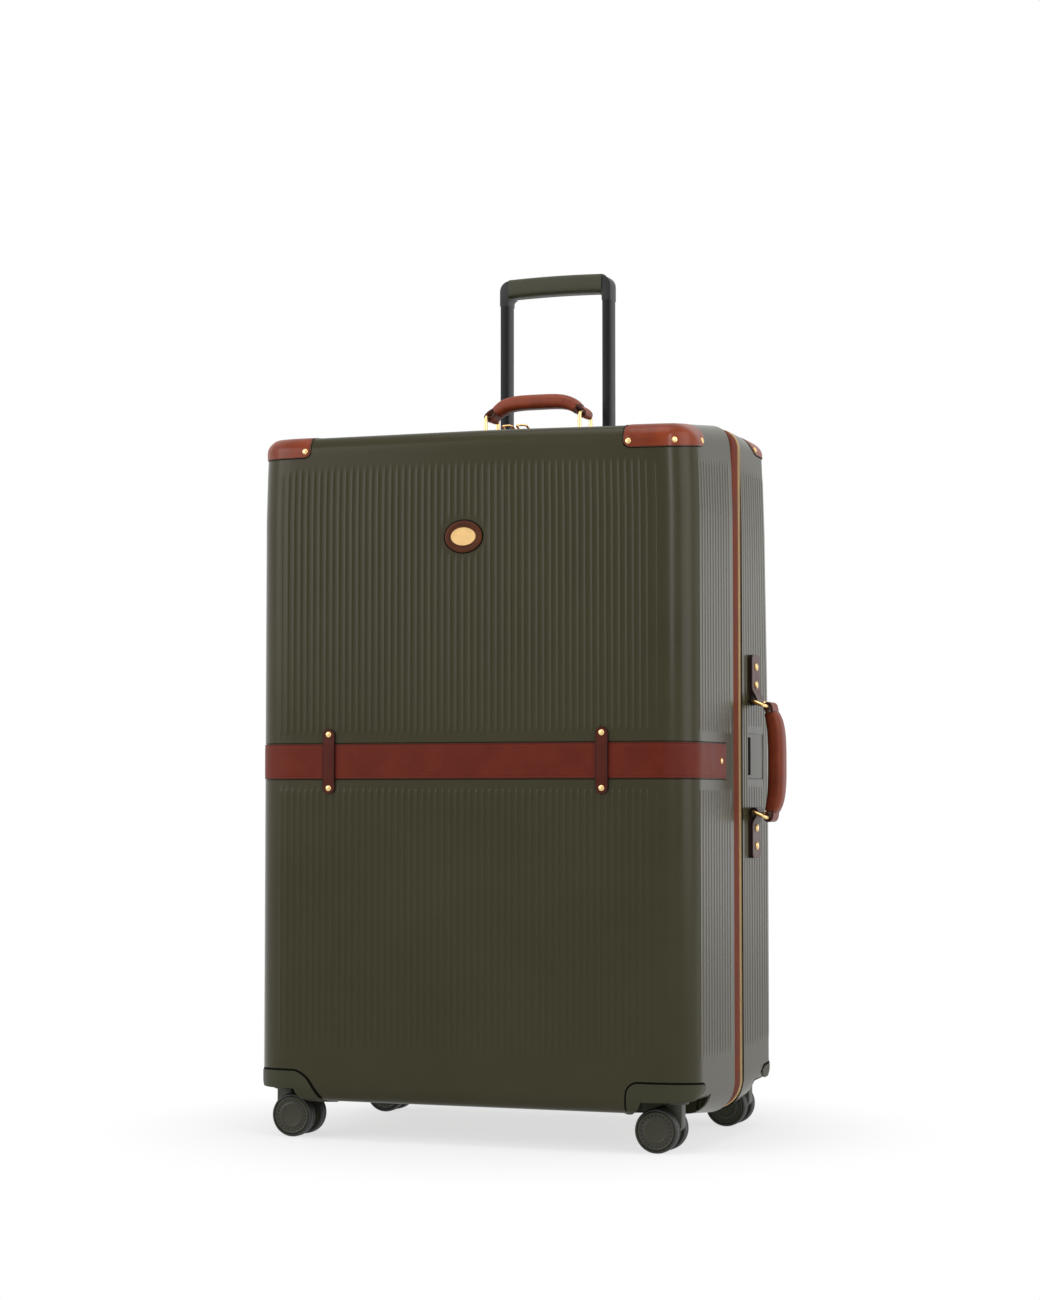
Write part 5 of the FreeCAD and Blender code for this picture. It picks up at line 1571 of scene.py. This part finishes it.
packingStraps = mirrored("packingStraps", packingStrap, straps["x"])
finishPiece(packingStraps, "packingStraps", webbing, "webbing", "rear_case", "packing_straps")
strapBuckles = mirrored("strapBuckles", strapBuckle, straps["x"])
finishPiece(strapBuckles, "strapBuckles", blackPlastic, "black_plastic", "rear_case")
print("lock, sliders, feet and straps made")


# Floor, light and camera

stageSpec = {"floorRadius": 6.0, "fadeFrom": 0.22, "fadeTo": 0.52, "floorTone": 0.9, "worldLight": 0.25,
             "whiteShare": 0.68}
release()
bpy.ops.mesh.primitive_circle_add(vertices=96, radius=stageSpec["floorRadius"], fill_type="NGON")
floor = bpy.context.object
floor.name = "floor"
floorMaterial = bpy.data.materials.new("paleFloor")
floorMaterial.use_nodes = True
floorShader = floorMaterial.node_tree.nodes["Principled BSDF"]
floorShader.inputs["Base Color"].default_value = (*([stageSpec["floorTone"]] * 3), 1)
floorShader.inputs["Roughness"].default_value = 0.9
floorShader.inputs["Specular IOR Level"].default_value = 0.1
floorCoords = addNode(floorMaterial, "TexCoord").outputs["Object"]
floorReach = addNode(floorMaterial, "VectorMath", {0: floorCoords}, operation="LENGTH").outputs["Value"]
fade = {"Value": floorReach, "From Min": stageSpec["fadeFrom"], "From Max": stageSpec["fadeTo"],
        "To Min": stageSpec["whiteShare"]}
floorFade = addNode(floorMaterial, "MapRange", fade, interpolation_type="SMOOTHSTEP").outputs["Result"]
rays = addNode(floorMaterial, "LightPath").outputs
seen = addNode(floorMaterial, "Math", {0: rays["Is Camera Ray"], 1: rays["Is Glossy Ray"]},
               operation="MAXIMUM")
fadeSeen = addNode(floorMaterial, "Math", {0: seen.outputs[0], 1: floorFade}, operation="MULTIPLY")
white = addNode(floorMaterial, "Emission", {"Color": (1, 1, 1, 1), "Strength": 1.0})
floorMix = addNode(floorMaterial, "MixShader", {0: fadeSeen.outputs[0], 1: floorShader.outputs["BSDF"],
                                                2: white.outputs["Emission"]})
floorMaterial.node_tree.links.new(floorMix.outputs["Shader"],
                                  floorMaterial.node_tree.nodes["Material Output"].inputs["Surface"])
floor.data.materials.append(floorMaterial)

world = bpy.data.worlds.new("studio")
bpy.context.scene.world = world
world.use_nodes = True
background = world.node_tree.nodes["Background"]
paths = addNode(world, "LightPath").outputs
shown = paths["Is Camera Ray"]
for ray in ("Is Glossy Ray", "Is Transmission Ray"):
    shown = addNode(world, "Math", {0: shown, 1: paths[ray]}, operation="MAXIMUM").outputs[0]
level = addNode(world, "MapRange", {"Value": shown, "To Min": stageSpec["worldLight"], "To Max": 1.0})
background.inputs["Color"].default_value = (1, 1, 1, 1)
world.node_tree.links.new(level.outputs["Result"], background.inputs["Strength"])


def softLight(name, place, target, size, power):
    light = bpy.data.lights.new(name, "AREA")
    light.shape = "RECTANGLE"
    light.size, light.size_y = size
    light.energy = power
    lamp = bpy.data.objects.new(name, light)
    lamp.location = place
    lamp.rotation_euler = (Vector(target) - Vector(place)).to_track_quat("-Z", "Y").to_euler()
    bpy.context.scene.collection.objects.link(lamp)


softLight("frontLeft", (-2.5, -2.2, 1.6), (0, 0, 0.5), (3.0, 2.0), 60)
softLight("keyRight", (2.8, 0.1, 1.3), (0.1, 0, 0.45), (1.4, 2.2), 29)
softLight("topSoft", (0.2, -0.8, 3.0), (0, 0, 0.6), (2.0, 2.0), 30)
softLight("sideSheen", (2.03, 4.2, 0.42), (0.26, 0, 0.4), (2.2, 1.5), 5.7)
softLight("cornerStrip", (2.65, -1.98, 1.35), (0.25, -0.17, 0.6), (0.3, 1.3), 19)

view = {"sensor": 36.0, "lens": 76.85, "place": (1.1495, -3.0591, 0.3898), "turn": (93.0, 0.0, 20.56)}
cameraData = bpy.data.cameras.new("camera")
camera = bpy.data.objects.new("camera", cameraData)
bpy.context.scene.collection.objects.link(camera)
cameraData.sensor_width = view["sensor"]
cameraData.lens = view["lens"]
camera.location = view["place"]
camera.rotation_euler = [math.radians(angle) for angle in view["turn"]]
bpy.context.scene.camera = camera
bpy.context.scene.view_settings.view_transform = "Standard"
print("stage made")
